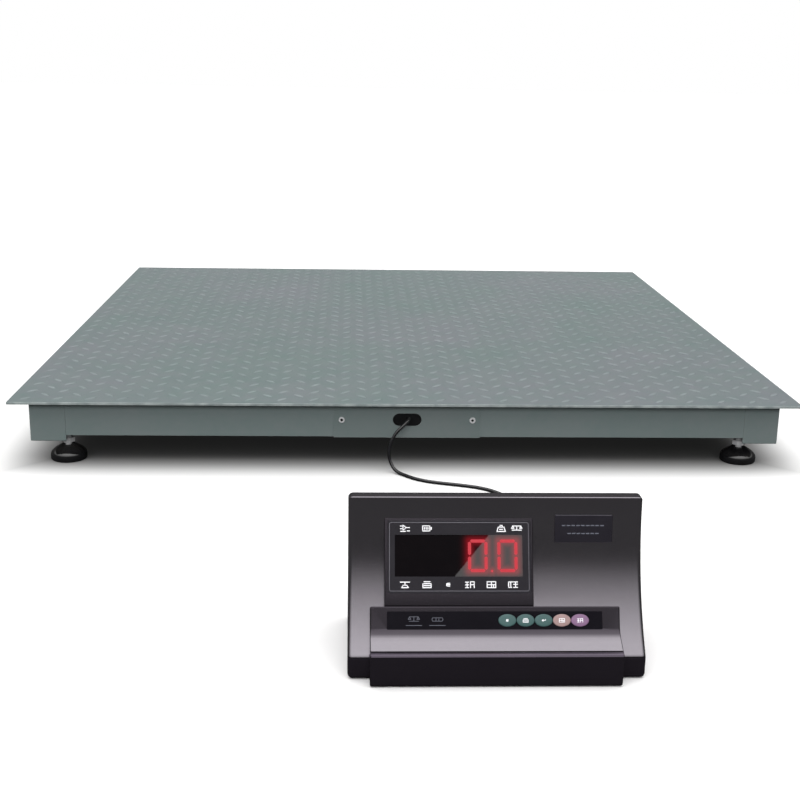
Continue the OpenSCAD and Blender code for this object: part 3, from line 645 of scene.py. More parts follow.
looks = {
    # the deck's edge colour is mostly a painted highlight along its edges and cut sides
    "deckPaint": {"base": (87, 102, 100), "second": (97, 102, 106), "toneScale": 4.2, "contrast": 0.5,
                  "rough": 0.55, "vary": 0.10, "grain": 500.0, "bump": 0.15,
                  "raised": (0.1051, 0.1061, 0.30, (150, 161, 161)), "wornAndLitEdge": (158, 166, 165), "wearAndHighlight": 0.8,
                  "dust": 0.04, "specular": 0.35},
    "framePaint": {"base": (100, 113, 112), "second": (109, 117, 117), "toneScale": 10.0, "contrast": 0.3,
                   "rough": 0.48, "grain": 600.0, "bump": 0.15, "wornAndLitEdge": (150, 156, 154), "wearAndHighlight": 0.12,
                   "dust": 0.06},
    "coverPaint": {"base": (98, 110, 109), "second": (106, 113, 113), "toneScale": 14.0, "contrast": 0.3,
                   "rough": 0.45, "grain": 600.0, "bump": 0.15, "wornAndLitEdge": (165, 168, 166), "wearAndHighlight": 0.5,
                   "dust": 0.05},
    "zincSteel": {"base": (226, 227, 228), "second": (206, 207, 209), "toneScale": 80.0, "rough": 0.22,
                  "metal": 0.35, "grain": 2000.0, "bump": 0.1, "wornAndLitEdge": (215, 215, 212), "wearAndHighlight": 0.5},
    "cellSteel": {"base": (176, 177, 174), "second": (160, 161, 160), "toneScale": 40.0, "rough": 0.34,
                  "metal": 1.0, "brushed": True, "bump": 0.12, "wornAndLitEdge": (210, 210, 208), "wearAndHighlight": 0.4},
    "bareSteel": {"base": (96, 98, 98), "second": (76, 78, 80), "toneScale": 50.0, "rough": 0.5, "metal": 0.9,
                  "brushed": True, "bump": 0.15, "dust": 0.1},
    "glossBlack": {"base": (14, 14, 15), "second": (21, 21, 23), "toneScale": 60.0, "rough": 0.13,
                   "grain": 1200.0, "bump": 0.03, "coat": 0.8, "coatRough": 0.05, "wornAndLitEdge": (70, 70, 72),
                   "wearAndHighlight": 0.3, "dust": 0.08},
    "boxGrey": {"base": (84, 88, 90), "second": (76, 80, 82), "toneScale": 40.0, "rough": 0.45,
                "grain": 1500.0, "dust": 0.08},
    "boardGreen": {"base": (22, 92, 52), "second": (16, 72, 42), "toneScale": 90.0, "rough": 0.35,
                   "grain": 3000.0, "bump": 0.1, "coat": 0.4},
    "cableJacket": {"base": (20, 20, 22), "second": (28, 28, 30), "toneScale": 120.0, "rough": 0.22,
                    "coat": 0.4, "grain": 2500.0, "bump": 0.1, "wornAndLitEdge": (60, 60, 62), "wearAndHighlight": 0.2,
                    "dust": 0.06},
    "blackNylon": {"base": (13, 13, 14), "second": (20, 20, 22), "toneScale": 90.0, "rough": 0.42,
                   "specular": 0.35, "grain": 3000.0, "bump": 0.2, "wornAndLitEdge": (66, 66, 68), "wearAndHighlight": 0.3},
    "clipNylon": {"base": (212, 211, 204), "second": (196, 195, 188), "toneScale": 90.0, "rough": 0.45,
                  "grain": 3000.0},
    # the top shell's panel colour is a painted shade on its raised fronts
    "blackAbs": {"base": (126, 122, 128), "second": (131, 127, 133), "toneScale": 18.0, "contrast": 0.2,
                 "rough": 0.20, "vary": 0.02, "grain": 5200.0, "bump": 0.05, "depth": 0.0002, "metal": 0.95,
                 "specular": 0.5, "panel": (64, 60, 66), "wornAndLitEdge": (120, 118, 124), "wearAndHighlight": 0.25, "dust": 0.02},
    # the base shell's ABS, darker than the top shell's: a painted shade for its front wall, which faces the
    # floor
    "shadedBaseAbs": {"base": (86, 79, 90), "second": (91, 84, 95), "toneScale": 18.0, "contrast": 0.2,
                "rough": 0.26, "vary": 0.02, "grain": 5200.0, "bump": 0.05, "depth": 0.0002, "metal": 0.96,
                "specular": 0.5, "wornAndLitEdge": (120, 118, 124), "wearAndHighlight": 0.3, "dust": 0.02},
    "windowFilm": {"base": (26, 24, 29), "second": (30, 28, 33), "toneScale": 30.0, "rough": 0.36,
                   "specular": 0.2, "grain": 4000.0, "bump": 0.04},
    "filmHighlightLine": {"base": (88, 86, 93), "second": (80, 78, 85), "toneScale": 60.0, "rough": 0.35,
                 "grain": 4000.0},
    "ledBlack": {"base": (7, 5, 7), "second": (10, 7, 9), "toneScale": 50.0, "rough": 0.012, "vary": 0.004,
                 "grain": 2000.0, "bump": 0.0, "specular": 0.045, "halo": (196, 22, 40)},
    "ledRed": {"base": (60, 6, 10), "second": (66, 8, 12), "toneScale": 300.0, "rough": 0.4,
               "glow": ((226, 52, 68), (204, 40, 58), 0.78)},
    "legendWhite": {"base": (236, 236, 238), "second": (222, 222, 226), "toneScale": 200.0, "rough": 0.5},
    "legendGrey": {"base": (96, 98, 108), "second": (84, 86, 96), "toneScale": 200.0, "rough": 0.5},
    "labelFilm": {"base": (29, 27, 33), "second": (33, 31, 37), "toneScale": 40.0, "rough": 0.3,
                  "grain": 3000.0, "bump": 0.05},
    "keypadFilm": {"base": (9, 7, 13), "second": (12, 10, 16), "toneScale": 40.0, "rough": 0.34,
                   "specular": 0.1, "grain": 3000.0, "bump": 0.05},
    "keyGreen": {"base": (52, 78, 77), "second": (58, 84, 83), "toneScale": 160.0, "rough": 0.38,
                 "wornAndLitEdge": (120, 160, 150), "wearAndHighlight": 0.4},
    "keyTan": {"base": (136, 112, 110), "second": (144, 120, 118), "toneScale": 160.0, "rough": 0.38,
               "wornAndLitEdge": (214, 196, 184), "wearAndHighlight": 0.4},
    "keyViolet": {"base": (112, 84, 112), "second": (120, 92, 120), "toneScale": 160.0, "rough": 0.38,
                  "wornAndLitEdge": (180, 156, 184), "wearAndHighlight": 0.4},
    "laminations": {"base": (112, 96, 66), "second": (88, 78, 58), "toneScale": 120.0, "rough": 0.5,
                    "metal": 0.4, "brushed": True},
    "batteryCase": {"base": (54, 58, 62), "second": (62, 66, 70), "toneScale": 60.0, "rough": 0.5},
    "footRubber": {"base": (26, 26, 26), "second": (36, 36, 36), "toneScale": 90.0, "rough": 0.8,
                   "bump": 0.3},
    "portMetal": {"base": (170, 172, 174), "second": (148, 150, 152), "toneScale": 120.0, "rough": 0.28,
                  "metal": 1.0, "grain": 2500.0, "bump": 0.08, "wornAndLitEdge": (214, 214, 214), "wearAndHighlight": 0.4},
}
materials = {name: surface(name, look) for name, look in looks.items()}
print("materials ready:", len(materials))

corners = [end + "_" + side for end in ("front", "rear") for side in ("left", "right")]
nodeLooks = {
    "deckPaint": ["deck_plate"],
    "framePaint": ["side_channel_left", "side_channel_right", "front_beam", "rear_beam", "deck_ribs"],
    "coverPaint": ["access_cover"],
    "zincSteel": ["cover_screws", "cell_bolts", "lock_nuts", "shell_screws"]
                 + ["foot_stud_" + c for c in corners],
    "portMetal": ["signal_plug", "signal_socket", "serial_port"],
    "cellSteel": ["load_cell_" + c for c in corners],
    "bareSteel": ["cell_spacers"],
    "glossBlack": ["foot_pad_" + c for c in corners],
    "boxGrey": ["junction_box", "junction_lid"],
    "boardGreen": ["summing_board", "keypad_board", "main_board"],
    "cableJacket": ["signal_cable", "cable_coil", "cable_tail", "plug_boot", "cell_leads"],
    "blackNylon": ["lead_glands", "cable_gland", "power_inlet", "fuse_holder", "rocker_housing",
                   "power_rocker"],
    "clipNylon": ["lead_clips"],
    "blackAbs": ["top_shell"],
    "shadedBaseAbs": ["base_shell", "battery_cover"],
    "windowFilm": ["display_window"], "ledBlack": ["display_module"], "labelFilm": ["label_plate"],
    "keypadFilm": ["keypad_bezel"], "keyGreen": ["key_1", "key_2", "key_3"], "keyTan": ["key_4"],
    "keyViolet": ["key_5"], "laminations": ["transformer"], "batteryCase": ["battery"],
    "footRubber": ["rubber_feet"],
}
lookOf = {node: look for look, nodes in nodeLooks.items() for node in nodes}
for nodeName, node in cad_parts.items():
    node.data.materials.clear()
    node.data.materials.append(materials[lookOf[nodeName]])
print("CAD nodes painted")


# ---- softened copies of sheet and turned parts ----

def piece(obj, body, look, nodes=()):
    return finishPiece(obj, body, materials[look], nodes)

def softCopy(node, width, segments=2, angle=30, shade=35):
    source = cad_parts[node]
    bm = bmesh.new()
    bm.from_mesh(source.data)
    bmesh.ops.transform(bm, matrix=source.matrix_world, verts=bm.verts)
    bmesh.ops.remove_doubles(bm, verts=bm.verts, dist=2e-6)
    bmesh.ops.dissolve_limit(bm, angle_limit=math.radians(0.6), verts=bm.verts, edges=bm.edges)
    bm.verts.index_update()
    verts = [v.co.copy() for v in bm.verts]
    faces = [[v.index for v in f.verts] for f in bm.faces]
    bm.free()
    obj = objectFrom(node + "_soft", verts, faces)
    bevel(obj, width, segments, angle)
    return smooth(obj, shade)

softened = [
    # body, edge radius in mm, steps, nodes
    ("platform", 1.6, 3, ["side_channel_left", "side_channel_right"]),
    ("platform", 0.9, 2, ["front_beam"]), ("platform", 0.8, 2, ["rear_beam", "deck_ribs"]),
    ("platform", 0.45, 2, ["access_cover"]), ("platform", 0.25, 2, ["cover_screws"]),
    ("platform", 1.0, 2, ["junction_box"]), ("platform", 0.8, 2, ["junction_lid"]),
    ("platform", 0.4, 2, ["cable_gland"]), ("platform", 0.3, 2, ["lead_glands"]),
    ("platform", 0.5, 2, ["lock_nuts", "cell_bolts"]), ("platform", 0.6, 2, nodeLooks["cellSteel"]),
    ("indicator", 0.6, 2, ["power_inlet", "rubber_feet"]), ("power_rocker", 0.4, 2, ["power_rocker"]),
    ("indicator", 0.5, 2, ["fuse_holder", "rocker_housing", "signal_plug", "plug_boot", "battery_cover"]),
    ("indicator", 0.3, 2, ["serial_port"]), ("indicator", 0.4, 2, ["signal_socket"]),
]
for body, radius, steps, nodes in softened:
    for nodeName in nodes:
        piece(softCopy(nodeName, radius * mm, steps), body, lookOf[nodeName], [nodeName])
print("softened parts ready")

def cadPoints(node):
    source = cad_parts[node]
    return [source.matrix_world @ v.co for v in source.data.vertices]

def makeSocketShades(setup):
    # a black star in the middle of each cover screw's head: painted shade standing in for its socket
    points = cadPoints("cover_screws")
    front = min(p.y for p in points)
    middle = sum(p.x for p in points) / len(points)
    sockets = []
    for side in (-1, 1):
        own = [p for p in points if (p.x - middle) * side > 0 and p.y < front + setup["depth"]]
        x, z = ((min(values) + max(values)) / 2 for values in ([p.x for p in own], [p.z for p in own]))
        star = []
        for k in range(12):
            r = setup["radius"] * (1.0 if k % 2 else setup["waist"])
            star.append((x + r * math.cos(math.pi * k / 6), z + r * math.sin(math.pi * k / 6)))
        sockets.append(prism("socket", star, front - setup["proud"], front + setup["depth"], "Y"))
    piece(joined("coverScrewSocketShade", sockets), "platform", "blackNylon")

makeSocketShades({"radius": 0.0024, "waist": 0.72, "proud": 0.00008, "depth": 0.0006})

def makeSlotShadeSheet(setup):
    # a black rubber sheet just behind the cover's slot, with the cable passing through it: painted shade that
    # keeps the slot's inside dark
    front = min(p.y for p in cadPoints("front_beam"))
    width, height = setup["size"]
    outline = roundedRect(width, height, height / 2 - 0.0001, 10, setup["middle"])
    obj = prism("slotShadeSheet", outline, front + setup["from"], front + setup["to"], "Y")
    piece(smooth(obj, 40), "platform", "blackNylon")

makeSlotShadeSheet({"middle": (0.0, 0.0735), "size": (0.048, 0.024), "from": 0.0002, "to": 0.0014})


# ---- deck plate with raised tears ----

deck = {
    "size": 1.2, "top": 0.105, "thick": 0.004, "centreY": 0.337, "edge": 0.0006,
    "columns": 25, "rows": 28, "length": 0.0245, "width": 0.0078, "height": 0.0012, "turn": 45.0,
    "outlinePoints": 12, "rings": [(1.0, -0.15), (0.78, 0.62), (0.42, 0.94)], "jitter": 0.0004, "seed": 7,
    "turnJitter": 1.5, "lowest": 0.85, "highest": 1.1, "pointed": 0.35,
}

def makeDeck(setup):
    half = setup["size"] / 2
    y, top = setup["centreY"], setup["top"]
    plate = boxPiece("plate", (-half, y - half, top - setup["thick"]), (half, y + half, top), setup["edge"])
    pick = random.Random(setup["seed"])
    verts, faces = [], []
    pitchX, pitchY = setup["size"] / setup["columns"], setup["size"] / setup["rows"]
    places = [(i + 0.5, j + 0.5, 1) for i in range(setup["columns"]) for j in range(setup["rows"])]
    places += [(i, j, -1) for i in range(1, setup["columns"]) for j in range(1, setup["rows"])]
    count = setup["outlinePoints"]
    for i, j, lean in places:
        cx = -half + i * pitchX + pick.uniform(-1, 1) * setup["jitter"]
        cy = y - half + j * pitchY + pick.uniform(-1, 1) * setup["jitter"]
        turn = math.radians(lean * setup["turn"] + pick.uniform(-setup["turnJitter"], setup["turnJitter"]))
        high = setup["height"] * pick.uniform(setup["lowest"], setup["highest"])
        first = len(verts)
        for scale, rise in setup["rings"]:
            for k in range(count):
                a = 2 * math.pi * k / count
                u = 0.5 * setup["length"] * math.cos(a) * scale
                v = 0.5 * setup["width"] * math.sin(a) * abs(math.sin(a)) ** setup["pointed"] * scale
                verts.append((cx + u * math.cos(turn) - v * math.sin(turn),
                              cy + u * math.sin(turn) + v * math.cos(turn), top + rise * high))
        verts.append((cx, cy, top + high))
        for ring in range(len(setup["rings"]) - 1):
            faces += ringFaces(first + ring * count, count)
        b = first + (len(setup["rings"]) - 1) * count
        faces += [(b + k, b + (k + 1) % count, len(verts) - 1) for k in range(count)]
        faces.append(tuple(range(first + count - 1, first - 1, -1)))
    tears = objectFrom("tears", verts, faces)
    smooth(tears, 75, weighted=False)
    marks = plate.data.attributes["edgeWearAndHighlightMark"]
    for face in plate.data.polygons:  # the plate's cut sides take the edge colour too: a painted highlight along the plate's edges
        if abs(face.normal.z) < 0.5:
            marks.data[face.index].value = 1.0
    smooth(plate, 35)
    return joined("deckPlate", [plate, tears])

piece(makeDeck(deck), "platform", "deckPaint", ["deck_plate"])
print("deck ready")


# ---- levelling feet ----

foot = {
    "x": 0.524, "y": 0.544, "centreY": 0.337, "sides": 56,
    # the pad's radius and height, from the floor up, over the rim and down into its socket
    "pad": [(0, 0), (24.9, 0), (26.3, 0.4), (27.2, 1.4), (27.5, 2.6), (27.5, 8.4), (27.2, 10.2), (26.5, 11.8),
            (25.4, 13.2), (23.9, 14.8), (22.1, 16.4), (20.0, 17.9), (17.8, 19.4), (15.4, 20.9), (13.2, 22.2),
            (11.4, 23.3), (9.8, 23.9), (7.0, 23.9), (6.1, 23.6), (5.7, 22.9), (5.7, 21.6), (7.0, 19.6),
            (7.4, 17.0), (6.6, 13.6), (4.0, 10.9), (0, 9.9)],
    "ball": 7.0, "ballHeight": 17.0, "neck": 5.0, "collar": (27.0, 34.0, 10.4), "stud": 5.9, "root": 5.05,
    "pitch": 1.75, "studTop": 88.0, "crestFrom": 0.66, "crestTo": 0.88,
}

def makePad(name, setup, centre):
    obj = lathe(name, [(r * mm, z * mm) for r, z in setup["pad"]], centre, setup["sides"])
    return smooth(obj, 50, weighted=False)

def makeStud(name, setup, centre):
    low, high, corner = setup["collar"]
    r, z = setup["ball"], setup["ballHeight"]
    reach = math.degrees(math.asin(setup["neck"] / r))
    line = [(r * math.cos(math.radians(a)), z + r * math.sin(math.radians(a)))
            for a in range(-90, int(90 - reach), 10)]
    line[0] = (0, z - r)
    line += [(setup["neck"], z + r * math.cos(math.radians(reach))), (setup["neck"], low + 0.5)]
    turns = int((setup["studTop"] - 1 - high) / setup["pitch"])
    line.append((setup["root"], low + 0.6))
    for i in range(turns):
        at = high + 0.3 + i * setup["pitch"]
        line += [(setup["root"], at), (setup["stud"], at + setup["crestFrom"]),
                 (setup["stud"], at + setup["crestTo"])]
    line += [(setup["root"], high + 0.3 + turns * setup["pitch"]), (setup["root"], setup["studTop"] - 0.6),
             (setup["root"] - 0.6, setup["studTop"]), (0, setup["studTop"])]
    shank = smooth(lathe(name + "Shank", [(a * mm, b * mm) for a, b in line], centre, 40), 28, weighted=False)
    hexagon = [(centre[0] + corner * mm * math.cos(math.radians(60 * k)),
                centre[1] + corner * mm * math.sin(math.radians(60 * k))) for k in range(6)]
    collar = prism(name + "Collar", hexagon, centre[2] + low * mm, centre[2] + high * mm, "Z")
    smooth(bevel(collar, 0.5 * mm, 2), 30)
    return joined(name, [shank, collar])

for sideX, sideName in ((-1, "left"), (1, "right")):
    for sideY, endName in ((-1, "front"), (1, "rear")):
        corner = endName + "_" + sideName
        spot = (sideX * foot["x"], foot["centreY"] + sideY * foot["y"], 0.0)
        pad, stud = "foot_pad_" + corner, "foot_stud_" + corner
        piece(makePad("padDome_" + corner, foot, spot), pad, "glossBlack", [pad])
        piece(makeStud("studThread_" + corner, foot, spot), stud, "zincSteel", [stud])
print("feet ready")


# ---- indicator: shell ----

shell = {
    "x": 0.063, "y": -0.919, "tilt": 24.5, "keyBase": (10.5, 51.2), "displayBase": (22.0, 72.0),
    "wall": 2.6, "width": 305.2, "middle": -0.7, "foot": 0.8, "top": 175.0, "crown": 74.0, "back": 146.0,
    "backTop": 128.0, "arc": 220.0, "arcY": -160.0, "parting": 24.0, "gap": 0.7,
    "apron": 37.2, "apronBack": 2.5,
    "consoleMiddle": -2.8, "consoleWidth": 255.6,
    "console": [(-18, 33.8), (-17, 35.4), (-12.8, 37.2), (-8, 39.4), (-2, 42.1), (2.5, 44.3), (6.5, 47.0),
                (8.8, 49.0), (10.5, 51.2), (19.8, 71.6), (30, 64.5)],
    "consoleBack": (60, 44), "consoleRounds": {0: 3.0, 10: 1.0},
    "displayMiddle": -39.5, "displayWidth": 153.0, "displayLength": 88.0, "displayDeep": 8, "sideRound": 5.0,
    "fadeLow": 43.8, "fadeRise": 3.4,
}

def atIndicator(obj):
    return placed(obj, Matrix.Translation((shell["x"], shell["y"], 0)))

def onSlope(obj, base):
    matrix = Matrix.Translation((shell["x"], shell["y"] + base[0] * mm, base[1] * mm))
    return placed(obj, matrix @ Matrix.Rotation(math.radians(-shell["tilt"]), 4, "X"))

def scaled(points):
    return [(a * mm, b * mm) for a, b in points]

def filleted(points, radii, steps=5):
    # an outline with some of its corners rounded; radii maps a corner's number to its radius
    out = []
    for i, point in enumerate(points):
        if i not in radii:
            out.append(point)
            continue
        p = Vector(point)
        a = (Vector(points[i - 1]) - p)
        b = (Vector(points[(i + 1) % len(points)]) - p)
        half = a.angle(b) / 2
        reach = min(radii[i] / math.tan(half), a.length * 0.98, b.length * 0.98)
        radius = reach * math.tan(half)
        centre = p + (a.normalized() + b.normalized()).normalized() * radius / math.sin(half)
        start, end = p + a.normalized() * reach - centre, p + b.normalized() * reach - centre
        turn = math.pi - 2 * half
        for k in range(steps + 1):
            t = k / steps
            arm = (start * math.sin((1 - t) * turn) + end * math.sin(t * turn)) / math.sin(turn)
            out.append(tuple(centre + arm))
    return out

def bodyOutline(s, inset, foot, soft=False):
    r = s["arc"] + inset
    low, high = math.acos((inset - s["arcY"]) / r), math.asin(inset / r)
    count = 40
    arc = [(s["arcY"] + r * math.cos(low + (high - low) * i / count),
            s["top"] - r * math.sin(low + (high - low) * i / count)) for i in range(count + 1)]
    back = s["back"] - inset
    points = [(inset, foot)] + arc + [(s["crown"], s["top"] - inset)]
    points += [(back, s["backTop"] - inset / 2), (back, foot)]
    if not soft:
        return points
    # the arc's last steps at either end make way for the rounded corners
    points = points[:2] + points[4:len(arc) - 2] + points[len(arc):]
    last = len(points) - 1
    radii = {0: 3.0, 1: 8.0, last - 3: 1.1, last - 2: 3.0, last - 1: 6.0, last: 3.0}
    return filleted(points, {k: max(r - inset, 0.05) for k, r in radii.items()}, 6)

def across(name, outline, middle, width, radius):
    # an outline drawn out along X about a middle, with rounded ends if a radius is given
    low, high = (middle - width / 2) * mm, (middle + width / 2) * mm
    if not radius:
        return prism(name, scaled(outline), low, high)
    outlineAt = outline if callable(outline) else (lambda drop: inset(outline, drop))
    return roundedPrism(name, lambda drop: scaled(outlineAt(drop / mm)), low, high, radius * mm)

def shellSolid(s, inset, foot):
    outer = not inset
    body = (lambda drop: bodyOutline(s, drop, foot + drop, True)) if outer else bodyOutline(s, inset, foot)
    solid = across("shellBody", body, s["middle"], s["width"] - 2 * inset, s["sideRound"] * outer)
    front, (back, backTop) = s["console"][0][0], s["consoleBack"]
    line = [(front + inset, foot)] + [(a + inset, b - inset) for a, b in s["console"]]
    line += [(back, backTop - inset), (back, foot)]
    if outer:
        line = filleted(line, s["consoleRounds"])
    console = across("shellConsole", line, s["consoleMiddle"], s["consoleWidth"] - 2 * inset, 1.5 * outer)
    rise = s["displayLength"] * math.cos(math.radians(s["tilt"]))
    run = s["displayLength"] * math.sin(math.radians(s["tilt"]))
    (y, z), deep = s["displayBase"], s["displayDeep"]
    line = [(y + inset, z - deep), (y + inset, z), (y + run + inset, z + rise - inset),
            (y + run + deep, z + rise - inset), (y + run + deep, z - deep)]
    block = across("shellDisplay", line, s["displayMiddle"], s["displayWidth"] - 2 * inset, 0.8 * outer)
    carve(solid, console, "UNION")
    return carve(solid, block, "UNION")

def box(low, high):
    return boxPiece("tool", tuple(c * mm for c in low), tuple(c * mm for c in high))

def plateTool(size, middle, front, back, radius=0.0):
    # a plate that faces forward, with rounded corners
    if radius:
        outline = roundedRect(size[0], size[1], radius, 6, middle)
    else:
        outline = [(middle[0] + x * size[0] / 2, middle[1] + z * size[1] / 2)
                   for x, z in ((-1, -1), (1, -1), (1, 1), (-1, 1))]
    return prism("tool", scaled(outline), front * mm, back * mm, "Y")

def ovalOutline(size, middle=(0, 0), count=40):
    turns = [2 * math.pi * k / count for k in range(count)]
    return [(middle[0] + size[0] / 2 * math.cos(a), middle[1] + size[1] / 2 * math.sin(a)) for a in turns]

def discTool(radius, middle, front, back, sides=40, axis="Y"):
    outline = ovalOutline((2 * radius, 2 * radius), middle, sides)
    return prism("tool", scaled(outline), front * mm, back * mm, axis)

panel = {
    "windowMiddle": (-39.1, 49.0), "window": (148.0, 74.4), "windowRound": 3.0, "led": (132.0, 43.0),
    "ledMiddle": (-39.5, 50.0), "stripMiddle": (-3.4, 8.2), "strip": (220.0, 18.0),
    "keyX": 9.3, "keyPitch": 18.6, "key": (18.3, 12.5),
    "labelX": 90.4, "labelLean": 8.7, "label": (60.0, 29.0),
    # the openings in the back: middle, then a size or a radius
    "backFrom": 136, "backTo": 156,
    "ports": [((-115, 66), (16, 24)), ((-84, 66), 6.2), ((-42, 66), (30, 22)), ((24, 66), (20, 10)),
              ((60, 44), 7.1)],
    "screwX": 139, "screwY": (24, 132), "screwHoles": [(30, 1.8), (12, 3.4)],
    "batteryHole": ((-118, 40, -1), (-22, 98, 20)),
}

def labelPlace(s, p, sink):
    # the label's place on the sweep, sunk a little along its own normal
    lean = math.radians(p["labelLean"])
    return (Matrix.Translation((p["labelX"] * mm, (s["arcY"] + s["arc"] * math.cos(lean) + sink) * mm,
                                (s["top"] - s["arc"] * math.sin(lean)) * mm))
            @ Matrix.Rotation(-lean, 4, "X"))

def makeShells(s, p):
    outside = shellSolid(s, 0, s["foot"])
    inside = shellSolid(s, s["wall"], s["foot"] + 3)
    carve(outside, inside)
    atIndicator(outside)
    low = s["consoleMiddle"] - s["consoleWidth"] / 2 - 1
    high = s["consoleMiddle"] + s["consoleWidth"] / 2 + 1
    zones = []
    for gap in (s["gap"] / 2, -s["gap"] / 2):
        # the joint line: level round the body, stepping up behind the console's apron
        zone = box((-200, -40, -5), (200, 200, s["parting"] + gap))
        carve(zone, box((low, -40, -5), (high, s["apronBack"], s["apron"] + gap)), "UNION")
        zones.append(atIndicator(zone))
    top = addObject("topShell", outside.data.copy())
    base = outside
    base.name = "baseShell"
    carve(top, zones[0])
    carve(base, zones[1], "INTERSECT")
    def pocket(size, middle, grow, depth, radius, base):
        tool = plateTool((size[0] + grow, size[1] + grow), middle, -5, depth, radius)
        carve(top, onSlope(tool, base))
    keyRow = (5 * p["keyPitch"] + 4, 14.8)
    pocket(p["window"], p["windowMiddle"], 0.6, 1.6, p["windowRound"], s["displayBase"])
    pocket(p["led"], p["ledMiddle"], 0.4, 15, 0.0, s["displayBase"])
    pocket(p["strip"], p["stripMiddle"], 0.4, 1.2, 1.2, s["keyBase"])
    pocket(keyRow, (p["keyX"] + 2 * p["keyPitch"], p["stripMiddle"][1]), 0.0, 7, 0.0, s["keyBase"])
    tool = plateTool((p["label"][0] + 0.6, p["label"][1] + 0.6), (0, 0), -5, 1.2, 0.6)
    carve(top, atIndicator(placed(tool, labelPlace(s, p, -0.6))))
    for middle, size in p["ports"]:
        cut = plateTool if isinstance(size, tuple) else discTool
        carve(top, atIndicator(cut(size, middle, p["backFrom"], p["backTo"])))
    for y in p["screwY"]:
        for x in (-p["screwX"], p["screwX"]):
            for reach, radius in p["screwHoles"]:
                carve(base, atIndicator(discTool(radius, (x, y), -1, reach, 24, "Z")))
    carve(base, atIndicator(box(*p["batteryHole"])))
    return top, base

def sweepDepth(s, z):
    return s["arcY"] + math.sqrt(s["arc"] ** 2 - (s["top"] - z) ** 2)

def markPanelShade(obj, s):
    # the console's and display's raised fronts carry a mark for a painted shade, fading out down the
    # console's curve
    mesh = obj.data
    marks = mesh.attributes.new("panelShadeMark", "FLOAT", "CORNER")
    for face in mesh.polygons:
        z = min(face.center.z / mm, s["top"])
        proud = face.center.y / mm - s["y"] / mm < sweepDepth(s, z) - 0.4
        for k in face.loop_indices:
            rise = mesh.vertices[mesh.loops[k].vertex_index].co.z / mm - s["fadeLow"]
            marks.data[k].value = min(max(rise / s["fadeRise"], 0.0), 1.0) if proud else 0.0

def evenSweep(obj, s):
    # the sweep's own normals, so that cuts into it leave no trace in the shading
    mesh = obj.data
    normals = [Vector(n.vector) for n in mesh.corner_normals]
    for face in mesh.polygons:
        if abs(face.normal.x) > 0.02:
            continue
        for k in face.loop_indices:
            co = mesh.vertices[mesh.loops[k].vertex_index].co
            arm = Vector((0, s["arcY"] - (co.y - s["y"]) / mm, s["top"] - co.z / mm))
            if abs(arm.length - s["arc"]) < 0.05 and arm.normalized().dot(face.normal) > 0.999:
                normals[k] = arm.normalized()
    mesh.normals_split_custom_set([tuple(n) for n in normals])

topShell, baseShell = makeShells(shell, panel)
for obj, look, node in ((topShell, "blackAbs", "top_shell"), (baseShell, "shadedBaseAbs", "base_shell")):
    smooth(obj, 28)
    markPanelShade(obj, shell)
    evenSweep(obj, shell)
    piece(obj, "indicator", look, [node])
print("indicator shell ready:", len(topShell.data.polygons), "faces")


# ---- indicator: display, label and keypad ----

def ringPiece(name, outer, inner, front, back, base):
    # a flat frame between two outlines with the same number of points
    verts = [(x * mm, y * mm, z * mm) for y in (front, back) for line in (outer, inner) for x, z in line]
    return onSlope(objectFrom(name, verts, frameFaces(len(outer))), base)

def strokes(name, lines, width, front, back, place=(0, 0), size=1.0):
    # flat bars along each line, with square ends; several bars make one mark
    pieces = []
    for x0, z0, x1, z1 in lines:
        a, b = Vector((x0, z0)) * size, Vector((x1, z1)) * size
        along = (b - a).normalized() * width / 2
        side = Vector((-along.y, along.x))
        middle = Vector(place)
        corners = (a - along - side, b + along - side, b + along + side, a - along + side)
        outline = [tuple(middle + corner) for corner in corners]
        pieces.append(prism("stroke", scaled(outline), front * mm, back * mm, "Y"))
    return joined(name, pieces)

def onWindow(obj):
    return onSlope(obj, shell["displayBase"])

def grown(size, middle, grow, radius):
    # a rounded outline; two of them with the same middle can bound a frame
    return roundedRect(size[0] + grow, size[1] + grow, radius, 6, middle)

digits = {
    "low": 33.2, "high": 66.6, "places": [(-30.1, -9.8), (0.3, 21.1)], "bar": 3.3, "gap": 0.55,
    "pointed": 0.8, "dot": (-5.4, 34.4, 1.3), "front": 0.66, "back": 0.85,
    "haloReach": 3.2, "haloFall": 1.4, "halo": 0.34,
}

def segmentBars(left, right, d):
    # the six outer bars of a seven-segment zero, each with pointed ends
    low, high, gap, h = d["low"], d["high"], d["gap"], d["bar"] / 2
    middle, tip = (low + high) / 2, h * d["pointed"]
    def across(z):
        a, b = left + h + gap, right - h - gap
        return [(a, z), (a + tip, z + h), (b - tip, z + h), (b, z), (b - tip, z - h), (a + tip, z - h)]
    def up(x, z0, z1):
        a, b = z0 + gap, z1 - gap
        return [(x, a), (x - h, a + tip), (x - h, b - tip), (x, b), (x + h, b - tip), (x + h, a + tip)]
    bottom, top = low + h, high - h
    return [across(bottom), across(top)] + [up(x, *ends) for x in (left + h, right - h)
                                            for ends in ((bottom, middle), (middle, top))]

def haloAt(x, z):
    # how strongly the painted glow lights the lens at a point, from its distance to the lit segments
    low, high, half = digits["low"], digits["high"], digits["bar"] / 2
    near = math.hypot(x - digits["dot"][0], z - digits["dot"][1])
    for left, right in digits["places"]:
        dx = max(left + half - x, x - right + half, 0.0)
        dz = max(low + half - z, z - high + half, 0.0)
        inside = min(x - left - half, right - half - x, z - low - half, high - half - z)
        near = min(near, math.hypot(dx, dz) if inside < 0 else inside)
    return digits["halo"] * math.exp(-((max(near - half, 0.0) / digits["haloReach"]) ** digits["haloFall"]))

